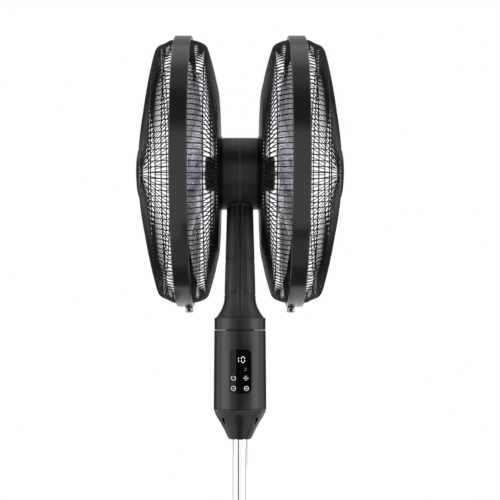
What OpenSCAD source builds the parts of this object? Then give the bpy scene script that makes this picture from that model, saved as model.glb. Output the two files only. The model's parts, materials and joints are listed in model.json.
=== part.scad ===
// Pedestal fan with two opposed heads on one swivelling neck.
// Origin on the floor under the pole, Z up, control panel facing -Y, heads facing -X and +X.

/* [Base] */
// Radius of the round floor base
base_r = 170; // [150:1:200]
// Height of the base cover at its rim above the base plate
base_rim_h = 9; // [6:0.5:14]
// Height of the base cover next to the pole boss above the base plate
base_dome_h = 30; // [26:0.5:45]
// Wall of the base cover
base_wall = 2.6; // [2:0.1:4]
// Thickness of the base plate
plate_t = 2.5; // [2:0.1:4]
// Height of the rubber feet under the base plate
foot_h = 3; // [2:0.5:6]
// Radius of a rubber foot
foot_r = 9; // [6:0.5:12]
// Number of rubber feet
foot_n = 6; // [4:1:8]
// Gap between the steel weight and the screw posts of the cover
weight_rim_gap = 8.4; // [4:0.2:40]
// Thickness of the steel weight
weight_t = 9; // [6:0.5:11]

/* [Pole] */
// Outer radius of the lower fixed tube
outer_pole_r = 14.2; // [13.8:0.1:17]
// Outer radius of the chrome sliding tube
inner_pole_r = 11.25; // [10:0.05:11.5]
// Wall of both tubes
tube_wall = 1.2; // [1:0.1:1.5]
// Height of the top of the lower tube above the floor
outer_pole_top = 402; // [380:1:430]
// Length of chrome tube that shows between lock collar and cone at rest
exposed_h = 136; // [132:1:180]
// Travel of the chrome tube downwards from rest
travel_down = 130; // [60:1:130]
// Length of the glide at the foot of the chrome tube
glide_len = 16; // [10:1:24]
// Radius of the pole's foot flange
flange_r = 34; // [28:1:40]
// Radius of the lock collar
lock_r = 21; // [19:0.5:26]
// Height of the lock collar
lock_h = 46; // [36:1:60]

/* [Control column] */
// Radius of the control housing at its top
housing_r_top = 40.3; // [38:0.1:46]
// Radius of the control housing at its bottom
housing_r_bottom = 41.3; // [38:0.1:47]
// Height of the control housing
housing_h = 121; // [110:1:140]
// Wall of the housing, the cone and the collar
shell_wall = 2.6; // [2:0.1:3.4]
// Height of the lower cone
cone_h = 48.5; // [42:0.5:60]
// Radius of the lower cone at its bottom
cone_r_bottom = 18.6; // [17:0.1:24]
// Width of the control panel
panel_w = 35; // [28:0.5:44]
// Height of the control panel
panel_h = 67.5; // [50:0.5:80]
// Corner radius of the control panel
panel_corner = 8; // [3:0.5:12]
// Height of the middle of the panel above the bottom of the housing
panel_mid = 58; // [48:0.5:62]

/* [Swivel] */
// Radius of the swivel collar
collar_r = 40; // [38:0.1:46]
// Height of the swivel collar
collar_h = 19; // [15:0.5:26]
// Radius of the hollow pivot under the collar
pivot_r = 14; // [13:0.1:16]
// Module of the swivel gear and its pinion
gear_module = 0.8; // [0.6:0.1:1]
// Teeth of the swivel gear
gear_teeth = 60; // [56:2:64]
// Teeth of the drive pinion
pinion_teeth = 12; // [12:2:16]
// Thickness of the gears
gear_t = 5.5; // [4:0.5:7]

/* [Neck] */
// Height of the head axis above the top of the swivel collar
neck_h = 225; // [222:1:260]
// Width of the neck under the barrel
neck_w_top = 40.2; // [34:0.1:46]
// Width of the neck above its flare
neck_w_low = 49; // [38:0.5:54]
// Depth of the neck under the barrel
neck_d_top = 52; // [48:0.5:66]
// Depth of the neck above its flare
neck_d_low = 62; // [48:0.5:68]
// Radius of the foot of the flare
flare_r = 37.6; // [34:0.1:38]
// Height of the flare
flare_h = 30; // [20:1:45]

/* [Barrel and motors] */
// Radius of the barrel between the heads
barrel_r = 55.6; // [50:0.1:60]
// Distance of each barrel end from the middle
barrel_half = 28; // [26:0.5:30]
// Wall of the barrel
barrel_wall = 2.6; // [2:0.1:3.4]
// Thickness of the barrel's end wall
barrel_end_t = 3; // [2.5:0.1:4]
// Outer radius of the motor case
motor_r = 27; // [25:0.5:30]
// Length of the motor case
motor_len = 26; // [25:0.5:28]
// Radius of the motor shaft
shaft_r = 4; // [3:0.5:5]
// Outer radius of the ball bearings
bearing_r = 8; // [7.5:0.5:9]
// Width of a ball bearing
bearing_w = 5; // [4:0.5:6]

/* [Blades] */
// Number of blades on each rotor
blade_n = 5; // [3:1:7]
// Radius of the blade tips
blade_tip_r = 176; // [140:1:178]
// Radius of the blade hub
blade_hub_r = 34; // [28:0.5:38]
// Distance of the back of the blade hub from the middle
hub_back = 57; // [56:0.5:60]
// Length of the blade hub
hub_len = 36; // [30:0.5:38]
// Thickness of a blade at its root
blade_t = 2.6; // [1.6:0.1:3.4]

/* [Cages] */
// Outer radius of the guard ring
ring_r = 208; // [200:1:220]
// Thickness of the guard ring's band
ring_t = 2.6; // [2:0.1:4]
// Width of the guard ring
ring_w = 25.4; // [22:0.1:30]
// Distance of the guard ring's middle plane from the middle of the fan
ring_mid = 85; // [82:0.5:90]
// Radius of the thick wire at each cage's rim
rim_wire_r = 3.2; // [2.6:0.1:4]
// Number of spokes of one grille
spoke_n = 60; // [48:2:80]
// Width of a spoke
spoke_w = 1.9; // [1.4:0.1:2.4]
// Thickness of a spoke
spoke_t = 2.2; // [1.6:0.1:2.6]
// Radius of the front centre cap
cap_r = 38; // [30:1:44]

/* [Clearances] */
// Radial clearance of a running fit
run_gap = 0.06; // [0.03:0.01:0.1]
// Clearance of a seated fit inside one body
seat_gap = 0.1; // [0.05:0.01:0.15]
// Gap between moving covers
move_gap = 0.4; // [0.3:0.05:0.6]
// Gap under a piece that rests on a moving neighbour
rest_gap = 0.25; // [0.2:0.05:0.3]

/* [Hidden] */
$fn = 96;

// Heights above the floor
plate_z = foot_h;
weight_z = plate_z + plate_t;
flange_z = weight_z + weight_t;
flange_t = 4;
lock_top = outer_pole_top + 28;
cone_z = lock_top + exposed_h;
housing_z = cone_z + cone_h;
deck_z = housing_z + housing_h;
collar_z = deck_z + 0.5;
neck_z = collar_z + collar_h;
head_z = neck_z + neck_h;

// Shared places of the pole
glide_floor_gap = 6;
inner_pole_foot = flange_z + glide_floor_gap + glide_len + travel_down;
socket_h = 62;
inner_pole_top = cone_z + socket_h - 2.5;
outer_bore_r = outer_pole_r - tube_wall;
bush_len = 30;
bush_flange_t = 3;
collet_h = 19;
collet_r = outer_bore_r + 0.4;
collet_top = outer_pole_top + bush_flange_t + collet_h;
cover_boss_h = 44;
bolt_ring_r = 25;
bolt_n = 3;
bolt_r = 3;
cover_post_r = 5;
cover_screw_r = 1.9;
cover_head_r = 3.6;
cover_head_h = 1.6;
cover_screw_ring = base_r - base_wall - cover_post_r - 4;
cover_screw_n = 4;
weight_r = cover_screw_ring - cover_post_r - weight_rim_gap;
foot_ring = base_r - 15 - foot_r;

// Shared places of the swivel
deck_t = 4;
deck_recess = 2;
washer_r = 26;
washer_t = deck_recess - 0.2;
deck_floor = deck_z - deck_t - deck_recess;
bearing_boss_h = 5;
gear_top = deck_floor - bearing_boss_h - rest_gap;
gear_z = gear_top - gear_t;
gear_seat_r = pivot_r - 2;
clip_t = 1.2;
pivot_foot = gear_z - clip_t - 1.4;
wire_bore_r = 9.5;
gear_r = gear_module * gear_teeth / 2;
pinion_r = gear_module * pinion_teeth / 2;
pinion_y = gear_r + pinion_r;
pinion_shaft_r = 2.5;
stepper_r = 14;
stepper_off = 8;
stepper_h = 19;
stepper_top = pivot_foot - 1.6;
stepper_y = pinion_y - stepper_off;
ear_x = 20;
ear_t = 1;
stepper_screw_r = 1.5;
collar_top_t = 4;
neck_screw_ring = 29;
neck_screw_r = 2;
neck_screw_n = 4;

// Shared places of the heads, measured outwards from the middle of the fan
case_front = barrel_half + motor_len;
case_wall = 2;
rear_bearing_x = barrel_half - bearing_w - 1;
front_bearing_x = case_front - bearing_w - 1;
stator_x = barrel_half + 7.5;
stator_len = 9.5;
stator_bore_r = 13;
coil_h = 1.8;
plate_back = barrel_half;
hub_plate_t = 2;
hub_plate_r = barrel_r + 2.4;
nut_t = 10;
nut_grip = 3;
shaft_end = hub_back + hub_len + 7;
motor_screw_ring = 21;
motor_screw_r = 1.5;
motor_boss_h = 7;
barrel_screw_ring = 43;
barrel_screw_r = 2;
barrel_post_r = 4.5;
neck_tube_r = 14;
neck_lip_r = 17;
neck_lip_t = 3;
neck_tube_top = sqrt(pow(barrel_r - barrel_wall, 2) - pow(neck_lip_r, 2)) - rest_gap - neck_lip_t;
rim_r = ring_r - ring_t - 0.2 - rim_wire_r;
rim_off = rim_wire_r + 0.15;
lug_x = ring_mid - 5.5;
lug_w = 11;
lug_gap = 4;
lug_t = 6;
lug_drop = 8.5;
clamp_z = -(ring_r + 4.6);
clamp_r = 2;

// Cage outlines: distance outwards and radius of the outer surface, from the rim to the hub
tie_w = 2.6;
cap_x = 156;
cap_front = 162.2;
front_rim = [ring_mid + rim_off, rim_r];
front_hub = [cap_x + 0.9, cap_r + 0.3];
rear_rim = [ring_mid - rim_off, rim_r];
rear_hub = [plate_back, hub_plate_r - 5];
// Each bend lies at a share of the way outwards and a share of the way from the rim to the hub
function cage_line(rim, hub, bends) = concat([rim],
    [for (b = bends) [rim[0] + (hub[0] - rim[0]) * b[0], rim[1] + (hub[1] - rim[1]) * b[1]]], [hub]);
front_line = cage_line(front_rim, front_hub,
    [[0.272, 0.012], [0.513, 0.059], [0.583, 0.125], [0.702, 0.318], [0.885, 0.693]]);
rear_line = cage_line(rear_rim, rear_hub,
    [[0.366, 0.019], [0.581, 0.067], [0.676, 0.158], [0.827, 0.369], [0.946, 0.617]]);
front_rings = [for (share = [0.03, 0.08, 0.287, 0.501, 0.745]) rim_r - (rim_r - cap_r) * share];
rear_rings = [for (share = [0.081, 0.315, 0.476]) rim_r - (rim_r - hub_plate_r) * share];

// General shapes
module ring(r_out, r_in, h) {
    linear_extrude(h)
        difference() {
            circle(r_out);
            circle(r_in);
        }
}

module around(n, r, turn = 0) {
    for (i = [0 : n - 1])
        rotate([0, 0, turn + i * 360 / n])
            translate([r, 0, 0])
                children();
}

module rounded_rect(w, h, r) {
    square([w - 2 * r, h], center = true);
    square([w, h - 2 * r], center = true);
    for (x = [-1, 1])
        for (y = [-1, 1])
            translate([x * (w / 2 - r), y * (h / 2 - r)])
                circle(r);
}

// A head's pieces are drawn with +Z pointing outwards along the fan's +X
module head_side(side) {
    mirror([side < 0 ? 1 : 0, 0, 0])
        translate([0, 0, head_z])
            rotate([0, 90, 0])
                children();
}

// Base
module base_plate() {
    color("#262626")
        difference() {
            translate([0, 0, plate_z])
                cylinder(h = plate_t, r = base_r);
            around(bolt_n, bolt_ring_r)
                translate([0, 0, plate_z - 1])
                    cylinder(h = plate_t + 2, r = 9);
            around(cover_screw_n, cover_screw_ring, 45)
                translate([0, 0, plate_z - 1])
                    cylinder(h = plate_t + 2, r = cover_screw_r + 0.3);
        }
}

module base_feet() {
    color("#1a1a1a")
        around(foot_n, foot_ring)
            cylinder(h = foot_h, r1 = foot_r - 0.8, r2 = foot_r);
}

module base_weight() {
    color("#6f7173")
        difference() {
            translate([0, 0, weight_z])
                cylinder(h = weight_t, r = weight_r);
            around(bolt_n, bolt_ring_r)
                translate([0, 0, weight_z - 1])
                    cylinder(h = weight_t + 2, r = bolt_r + 0.3);
        }
}

module base_cover() {
    boss_r = outer_pole_r + seat_gap + 4;
    color("#2b2b2c")
        translate([0, 0, weight_z])
            difference() {
                union() {
                    rotate_extrude()
                        polygon([
                            [base_r, 0],
                            [base_r, base_rim_h - 3],
                            [base_r - 1, base_rim_h - 1],
                            [base_r - 3, base_rim_h],
                            [base_r * 0.6, base_dome_h - 9],
                            [base_r * 0.34, base_dome_h - 2.6],
                            [boss_r + 16, base_dome_h],
                            [boss_r + 7, base_dome_h + 3],
                            [boss_r + 2, base_dome_h + 9],
                            [boss_r, cover_boss_h],
                            [outer_pole_r + seat_gap, cover_boss_h],
                            [outer_pole_r + seat_gap, base_dome_h - base_wall],
                            [boss_r + 16, base_dome_h - base_wall],
                            [base_r * 0.34, base_dome_h - 2.6 - base_wall],
                            [base_r * 0.6, base_dome_h - 9 - base_wall],
                            [base_r - 3, base_rim_h - base_wall],
                            [base_r - base_wall, base_rim_h - base_wall],
                            [base_r - base_wall, 0]
                        ]);
                    around(cover_screw_n, cover_screw_ring, 45)
                        cylinder(h = base_rim_h - 1, r = cover_post_r);
                }
                around(cover_screw_n, cover_screw_ring, 45)
                    translate([0, 0, -1])
                        cylinder(h = base_rim_h - 1, r = cover_screw_r + 0.05);
            }
}

module base_screws() {
    color("#8d8f92")
        around(cover_screw_n, cover_screw_ring, 45)
            translate([0, 0, plate_z - cover_head_h]) {
                cylinder(h = cover_head_h, r = cover_head_r);
                cylinder(h = cover_head_h + plate_t + base_rim_h - 3.6, r = cover_screw_r);
            }
}

module pole_bolts() {
    color("#8d8f92")
        around(bolt_n, bolt_ring_r) {
            translate([0, 0, weight_z - plate_t + 0.2])
                cylinder(h = plate_t - 0.2, r = 6, $fn = 6);
            translate([0, 0, weight_z])
                cylinder(h = weight_t + flange_t, r = bolt_r);
        }
}

// Pole
module outer_pole() {
    color("#d9dadc")
        difference() {
            union() {
                translate([0, 0, flange_z])
                    cylinder(h = flange_t, r = flange_r);
                translate([0, 0, flange_z])
                    cylinder(h = outer_pole_top - flange_z, r = outer_pole_r);
            }
            translate([0, 0, flange_z - 1])
                cylinder(h = outer_pole_top - flange_z + 2, r = outer_bore_r);
            around(bolt_n, bolt_ring_r)
                translate([0, 0, flange_z - 1])
                    cylinder(h = flange_t + 2, r = bolt_r + 0.05);
        }
}

module pole_bush() {
    color("#3a3a3b")
        difference() {
            union() {
                translate([0, 0, outer_pole_top - bush_len])
                    cylinder(h = bush_len, r = outer_bore_r - seat_gap / 2);
                translate([0, 0, outer_pole_top])
                    cylinder(h = bush_flange_t, r = outer_pole_r);
                translate([0, 0, outer_pole_top])
                    cylinder(h = bush_flange_t + collet_h, r = collet_r);
            }
            translate([0, 0, outer_pole_top - bush_len - 1])
                cylinder(h = bush_len + bush_flange_t + collet_h + 2, r = inner_pole_r + run_gap);
            for (turn = [0, 90])
                rotate([0, 0, turn])
                    translate([-outer_pole_r, -0.8, outer_pole_top + bush_flange_t + 3])
                        cube([2 * outer_pole_r, 1.6, collet_h]);
        }
}

module lock_collar() {
    flute_n = 20;
    flute_r = 2.4;
    bore_top = outer_pole_top + bush_flange_t + rest_gap;
    color("#2f2f30")
        difference() {
            translate([0, 0, lock_top - lock_h])
                rotate_extrude()
                    polygon([
                        [0, 0],
                        [lock_r - 2.5, 0],
                        [lock_r, 3],
                        [lock_r, lock_h - 10],
                        [lock_r - 2, lock_h - 4],
                        [lock_r - 5, lock_h],
                        [0, lock_h]
                    ]);
            translate([0, 0, lock_top - lock_h - 1])
                cylinder(h = bore_top - lock_top + lock_h + 1, r = outer_pole_r + run_gap);
            translate([0, 0, bore_top - 1])
                cylinder(h = collet_top + 1 - bore_top + 1, r = collet_r + move_gap);
            translate([0, 0, lock_top - 5])
                cylinder(h = 6, r = inner_pole_r + move_gap);
            around(flute_n, lock_r + 1.3)
                translate([0, 0, lock_top - lock_h - 1])
                    cylinder(h = lock_h - 10, r = flute_r, $fn = 24);
        }
}

module inner_pole() {
    color("#eceded")
        difference() {
            translate([0, 0, inner_pole_foot])
                cylinder(h = inner_pole_top - inner_pole_foot, r = inner_pole_r);
            translate([0, 0, inner_pole_foot - 1])
                cylinder(h = inner_pole_top - inner_pole_foot + 2, r = inner_pole_r - tube_wall);
            translate([0, 0, cone_z + socket_h - 10])
                rotate([0, 90, 0])
                    cylinder(h = 4 * inner_pole_r, r = 2.1, center = true);
        }
}

module pole_glide() {
    plug_h = 18;
    plug_wall = 2.4;
    color("#d8d8d4")
        difference() {
            union() {
                translate([0, 0, inner_pole_foot - glide_len])
                    cylinder(h = glide_len, r = outer_bore_r - run_gap);
                translate([0, 0, inner_pole_foot - 1])
                    cylinder(h = plug_h + 1, r = inner_pole_r - tube_wall - seat_gap / 2);
            }
            translate([0, 0, inner_pole_foot - glide_len - 1])
                cylinder(h = glide_len + plug_h + 2, r = inner_pole_r - tube_wall - plug_wall);
        }
}

// Control column
module lower_cone() {
    r0 = housing_r_bottom;
    rb = cone_r_bottom;
    h = cone_h;
    w = shell_wall;
    socket_r = inner_pole_r + seat_gap / 2;
    slot_x = r0 * 0.565;
    slot_w = 4.6;
    slot_foot = h * 0.46;
    slot_top = h * 0.745;
    color("#363637")
        translate([0, 0, cone_z])
            difference() {
                union() {
                    rotate_extrude()
                        polygon([
                            [socket_r, 0],
                            [rb - 1.2, 0],
                            [rb, 1.4],
                            [rb + 6.2, h * 0.30],
                            [rb + 11.4, h * 0.50],
                            [r0 - 5.2, h * 0.70],
                            [r0 - 1.6, h * 0.85],
                            [r0 - 0.3, h * 0.96],
                            [r0 - 0.1, h - seam_w],
                            [r0 - seam_w, h],
                            [r0 - w, h],
                            [r0 - w - 1.4, h * 0.85],
                            [r0 - w - 5.4, h * 0.70],
                            [rb + 11.6 - w, h * 0.53],
                            [rb + 1.2 - w, h * 0.16],
                            [socket_r, h * 0.12]
                        ]);
                    ring(socket_r + 3.4, socket_r, socket_h);
                    translate([0, 0, socket_h - 2.5])
                        ring(socket_r + 3.4, inner_pole_r - 4, 2.5);
                    translate([0, 0, h - 4])
                        ring(r0 - w - seat_gap, r0 - w - 2.4, 10);
                    for (turn = [45 : 90 : 315])
                        rotate([0, 0, turn])
                            translate([socket_r + 2.4, -1, 8])
                                cube([3.6, 2, h - 8]);
                    translate([0, 0, h - 4])
                        for (turn = [45 : 90 : 315])
                            rotate([0, 0, turn])
                                translate([socket_r + 2.4, -1, 0])
                                    cube([r0 - w - 1.5 - socket_r - 2.4, 2, 6]);
                }
                // Slanted outlet slots at the front left and front right, pointed at both ends
                for (side = [-1, 1])
                    rotate([90, 0, 0])
                        linear_extrude(r0)
                            polygon([
                                [side * slot_x, slot_foot],
                                [side * (slot_x + slot_w), slot_top - slot_w],
                                [side * (slot_x + slot_w * 0.75), slot_top],
                                [side * (slot_x + 0.4), slot_top - slot_w * 0.8]
                            ]);
                translate([0, 0, socket_h - 10])
                    rotate([0, 90, 0])
                        cylinder(h = 4 * inner_pole_r, r = 2.1, center = true);
            }
}

module pole_screw() {
    reach = inner_pole_r + seat_gap / 2 + 3.4;
    color("#8d8f92")
        translate([0, 0, cone_z + socket_h - 10])
            rotate([0, 90, 0]) {
                translate([0, 0, -reach])
                    cylinder(h = 2 * reach + 4, r = 2);
                translate([0, 0, -reach - 2.4])
                    cylinder(h = 2.4, r = 3.8);
                translate([0, 0, reach])
                    cylinder(h = 3.2, r = 4, $fn = 6);
            }
}

function housing_r_at(z) = housing_r_bottom + (housing_r_top - housing_r_bottom) * z / housing_h;

module panel_block(w, h, r) {
    translate([0, 0, housing_z + panel_mid])
        rotate([90, 0, 0])
            linear_extrude(housing_r_bottom + 10)
                rounded_rect(w, h, r);
}

module housing_band(depth_in, depth_out) {
    translate([0, 0, housing_z])
        rotate_extrude()
            polygon([
                [housing_r_bottom - depth_in, 0],
                [housing_r_bottom - depth_out, 0],
                [housing_r_top - depth_out, housing_h],
                [housing_r_top - depth_in, housing_h]
            ]);
}

lens_t = 1.5;
seam_w = 0.5;
inlet_h = 23;
inlet_r = 4;
inlet_boss_depth = 8;

// Seats of the two boards inside the housing
board_t = 1.6;
board_post_r = 2.2;
board_screw_r = 1.1;
board_screw_len = 6;
display_y = sqrt(pow(housing_r_top - shell_wall, 2) - pow(panel_w / 2 + 1, 2)) - 4;
display_post_x = 10;
display_post_z = panel_h / 2 + 0.6;
control_y = inner_pole_r + 4.5;
control_mid = 54;
control_post_x = 18;
control_post_z = 16;
display_z = housing_z + panel_mid;
control_z = housing_z + control_mid;

function post_end(x, z) = sqrt(pow(housing_r_at(z) - shell_wall + 0.7, 2) - x * x);

module board_post(x, facing, z, y_from) {
    translate([x, facing * y_from, housing_z + z])
        rotate([-90 * facing, 0, 0])
            cylinder(h = post_end(abs(x) + board_post_r, z) - y_from, r = board_post_r);
}

// The children are drawn with +Z pointing from a board's free face into its post
module board_screw_places() {
    for (x = [-1, 1])
        for (z = [-1, 1]) {
            translate([x * display_post_x, -display_y, display_z + z * display_post_z])
                rotate([90, 0, 0])
                    children();
            translate([x * control_post_x, control_y - board_t, control_z + z * control_post_z])
                rotate([-90, 0, 0])
                    children();
        }
}

module control_housing() {
    rt = housing_r_top;
    rb = housing_r_bottom;
    w = shell_wall;
    boss_foot = gear_top + rest_gap - housing_z;
    color("#3c3c3d")
        difference() {
            union() {
                translate([0, 0, housing_z])
                    rotate_extrude()
                        polygon([
                            [rb - w, 0],
                            [rb - seam_w, 0],
                            [rb, seam_w],
                            [rt, housing_h - 0.8],
                            [rt - 0.8, housing_h],
                            [washer_r + seat_gap, housing_h],
                            [washer_r + seat_gap, housing_h - deck_recess],
                            [pivot_r + run_gap, housing_h - deck_recess],
                            [pivot_r + run_gap, boss_foot],
                            [pivot_r + 4, boss_foot],
                            [pivot_r + 4, housing_h - deck_recess - deck_t],
                            [rt - w - 2, housing_h - deck_recess - deck_t],
                            [rt - w, housing_h - deck_recess - deck_t - 2]
                        ]);
                // Posts that carry the oscillation motor
                for (side = [-1, 1])
                    translate([side * ear_x, stepper_y, stepper_top])
                        cylinder(h = deck_floor + 1 - stepper_top, r = 3);
                // Boss behind the inlet
                intersection() {
                    translate([-8, rb - inlet_boss_depth, housing_z + inlet_h - 7])
                        cube([16, inlet_boss_depth, 14]);
                    housing_band(inlet_boss_depth, 0.4);
                }
                // Posts that carry the display board behind the window
                for (x = [-1, 1])
                    for (z = [-1, 1])
                        board_post(x * display_post_x, -1, panel_mid + z * display_post_z,
                            display_y + board_t);
                // Posts that carry the control board in front of the back wall
                for (x = [-1, 1])
                    for (z = [-1, 1])
                        board_post(x * control_post_x, 1, control_mid + z * control_post_z, control_y);
            }
            intersection() {
                panel_block(panel_w, panel_h, panel_corner);
                housing_band(lens_t, -5);
            }
            panel_block(panel_w - 5, panel_h - 5, panel_corner - 2.5);
            for (side = [-1, 1])
                translate([side * ear_x, stepper_y, stepper_top - 1])
                    cylinder(h = 12, r = stepper_screw_r + 0.05);
            translate([0, rb - 12, housing_z + inlet_h])
                rotate([-90, 0, 0])
                    cylinder(h = 20, r = inlet_r + seat_gap / 2);
            board_screw_places()
                translate([0, 0, -1])
                    cylinder(h = board_screw_len, r = board_screw_r + 0.05);
        }
}

module power_inlet() {
    socket_depth = 10;
    flange_h = 3;
    face_in = 0.6;
    color("#1c1c1c")
        translate([0, housing_r_bottom - face_in, housing_z + inlet_h])
            rotate([90, 0, 0])
                difference() {
                    union() {
                        cylinder(h = socket_depth + 1, r = inlet_r);
                        translate([0, 0, inlet_boss_depth - face_in])
                            cylinder(h = flange_h, r = inlet_r + 1.6);
                        cylinder(h = socket_depth + 7, r = 1);
                    }
                    difference() {
                        translate([0, 0, -1])
                            cylinder(h = socket_depth, r = 2.8);
                        cylinder(h = socket_depth, r = 1);
                    }
                }
}

module panel_lens() {
    color("#0b0b0c")
        intersection() {
            panel_block(panel_w - 2 * seat_gap, panel_h - 2 * seat_gap, panel_corner - seat_gap);
            housing_band(lens_t - 0.03, 0.05);
        }
}

module board_holes() {
    board_screw_places()
        translate([0, 0, -1])
            cylinder(h = board_t + 2, r = board_screw_r + 0.15);
}

module display_board() {
    color("#20402c")
        difference() {
            translate([0, -display_y, housing_z + panel_mid])
                rotate([90, 0, 0]) {
                    linear_extrude(board_t)
                        square([panel_w - 4, 2 * display_post_z + 6], center = true);
                    // Block of the two digits
                    translate([0, 13, board_t])
                        linear_extrude(2.4)
                            square([15, 11], center = true);
                    // Touch pads behind the four icons
                    for (x = [-8.6, 8.6])
                        for (y = [-10, -26])
                            translate([x, y, board_t])
                                cylinder(h = 1.4, r = 4);
                    // Light guides along both edges
                    for (x = [-1, 1])
                        translate([x * (panel_w / 2 - 4.5), 0, board_t])
                            linear_extrude(2.6)
                                square([2, panel_h - 16], center = true);
                }
            board_holes();
        }
}

module control_board() {
    color("#20402c")
        difference() {
            translate([0, control_y, housing_z + control_mid])
                rotate([-90, 0, 0]) {
                    translate([0, 0, -board_t])
                        linear_extrude(board_t)
                            square([2 * control_post_x + 8, 2 * control_post_z + 8], center = true);
                    // Capacitors and the power block
                    for (x = [-11, 0, 11])
                        translate([x, -8, 0])
                            cylinder(h = 9, r = 4);
                    translate([0, 10, 0])
                        linear_extrude(4)
                            square([26, 10], center = true);
                }
            board_holes();
        }
}

module board_screws() {
    color("#8d8f92")
        board_screw_places() {
            translate([0, 0, -1.2])
                cylinder(h = 1.2, r = 2);
            cylinder(h = board_screw_len - 1, r = board_screw_r);
        }
}

module stepper_motor() {
    color("#b9bbbd")
        difference() {
            union() {
                translate([0, stepper_y, stepper_top - stepper_h])
                    cylinder(h = stepper_h, r = stepper_r);
                translate([-ear_x, stepper_y - 3.5, stepper_top - ear_t])
                    cube([2 * ear_x, 7, ear_t]);
                for (side = [-1, 1])
                    translate([side * ear_x, stepper_y, stepper_top - ear_t])
                        cylinder(h = ear_t, r = 3.5);
                translate([0, pinion_y, stepper_top - 1])
                    cylinder(h = 2.4, r = 4.5);
                translate([-7.3, stepper_y + stepper_r - 30.5, stepper_top - stepper_h + 0.5])
                    cube([14.6, 5, stepper_h - 2]);
            }
            translate([0, pinion_y, stepper_top - 10])
                cylinder(h = 16, r = pinion_shaft_r + run_gap);
            for (side = [-1, 1])
                translate([side * ear_x, stepper_y, stepper_top - 3])
                    cylinder(h = 6, r = stepper_screw_r + 0.2);
        }
}

module stepper_screws() {
    color("#8d8f92")
        for (side = [-1, 1])
            translate([side * ear_x, stepper_y, stepper_top - ear_t - 1.8]) {
                cylinder(h = 1.8, r = 2.8);
                cylinder(h = 10, r = stepper_screw_r);
            }
}

// Involute gear outline: each tooth is two involute flanks, thinned for backlash
function involute(rb, a) = rb * [cos(a) + a * PI / 180 * sin(a), sin(a) - a * PI / 180 * cos(a)];
function turned(p, a) = [p[0] * cos(a) - p[1] * sin(a), p[0] * sin(a) + p[1] * cos(a)];
function roll_to(rb, r) = r <= rb ? 0 : sqrt(pow(r / rb, 2) - 1) * 180 / PI;
function tooth_flank(rb, r_root, r_tip, half) = concat(
    [turned([r_root, 0], -half)],
    let (r_start = max(rb, r_root))
    [for (i = [0 : 3]) turned(involute(rb, roll_to(rb, r_start + (r_tip - r_start) * i / 3)), -half)]
);
function mirrored(points) = [for (i = [len(points) - 1 : -1 : 0]) [points[i][0], -points[i][1]]];

module gear_outline(teeth, addendum, dedendum, backlash) {
    rp = gear_module * teeth / 2;
    rb = rp * cos(20);
    // Half angle between the flank's start on the base circle and the middle of the tooth
    half = 90 / teeth + (tan(20) * 180 / PI - 20) - backlash / rp * 90 / PI;
    flank = tooth_flank(rb, rp - dedendum * gear_module, rp + addendum * gear_module, half);
    tooth = concat(flank, mirrored(flank));
    polygon([for (i = [0 : teeth - 1]) for (p = tooth) turned(p, i * 360 / teeth)]);
}

module drive_pinion() {
    color("#e4e2da")
        translate([0, pinion_y, 0]) {
            translate([0, 0, gear_z])
                rotate([0, 0, 90 + 180 / pinion_teeth])
                    linear_extrude(gear_t)
                        gear_outline(pinion_teeth, 0.9, 1.0, 0.12);
            translate([0, 0, stepper_top - 9.6])
                cylinder(h = gear_z + gear_t - stepper_top + 9.6, r = pinion_shaft_r);
        }
}

module swivel_gear() {
    color("#e4e2da")
        difference() {
            translate([0, 0, gear_z])
                rotate([0, 0, 90])
                    linear_extrude(gear_t)
                        gear_outline(gear_teeth, 0.65, 1.2, 0.12);
            translate([0, 0, gear_z - 1])
                cylinder(h = gear_t + 2, r = gear_seat_r + seat_gap / 2);
        }
}

module swivel_clip() {
    color("#8d8f92")
        translate([0, 0, gear_z - clip_t])
            difference() {
                ring(gear_seat_r + 3, gear_seat_r + seat_gap / 2, clip_t);
                translate([-1.5, 0, -1])
                    cube([3, 20, clip_t + 2]);
            }
}

module swivel_washer() {
    color("#e9e7df")
        translate([0, 0, deck_z - deck_recess])
            ring(washer_r, pivot_r + 0.5, washer_t);
}

module swivel_collar() {
    boss_foot = deck_z - deck_recess + washer_t + rest_gap;
    top_in = neck_z - collar_top_t;
    color("#3f3f40")
        difference() {
            rotate_extrude()
                polygon([
                    [wire_bore_r, pivot_foot],
                    [gear_seat_r, pivot_foot],
                    [gear_seat_r, gear_top],
                    [pivot_r, gear_top],
                    [pivot_r, boss_foot],
                    [pivot_r + 8, boss_foot],
                    [pivot_r + 8, top_in],
                    [collar_r - shell_wall, top_in],
                    [collar_r - shell_wall, collar_z],
                    [collar_r - 0.8, collar_z],
                    [collar_r, collar_z + 0.8],
                    [collar_r, neck_z - 0.6],
                    [collar_r - 0.6, neck_z],
                    [wire_bore_r, neck_z]
                ]);
            around(neck_screw_n, neck_screw_ring, 45)
                translate([0, 0, top_in - 1])
                    cylinder(h = collar_top_t + 2, r = neck_screw_r + 0.2);
        }
}

module neck_screws() {
    color("#8d8f92")
        around(neck_screw_n, neck_screw_ring, 45)
            translate([0, 0, neck_z - collar_top_t - 2.4]) {
                cylinder(h = 2.4, r = 3.8);
                cylinder(h = 14, r = neck_screw_r);
            }
}

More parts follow.
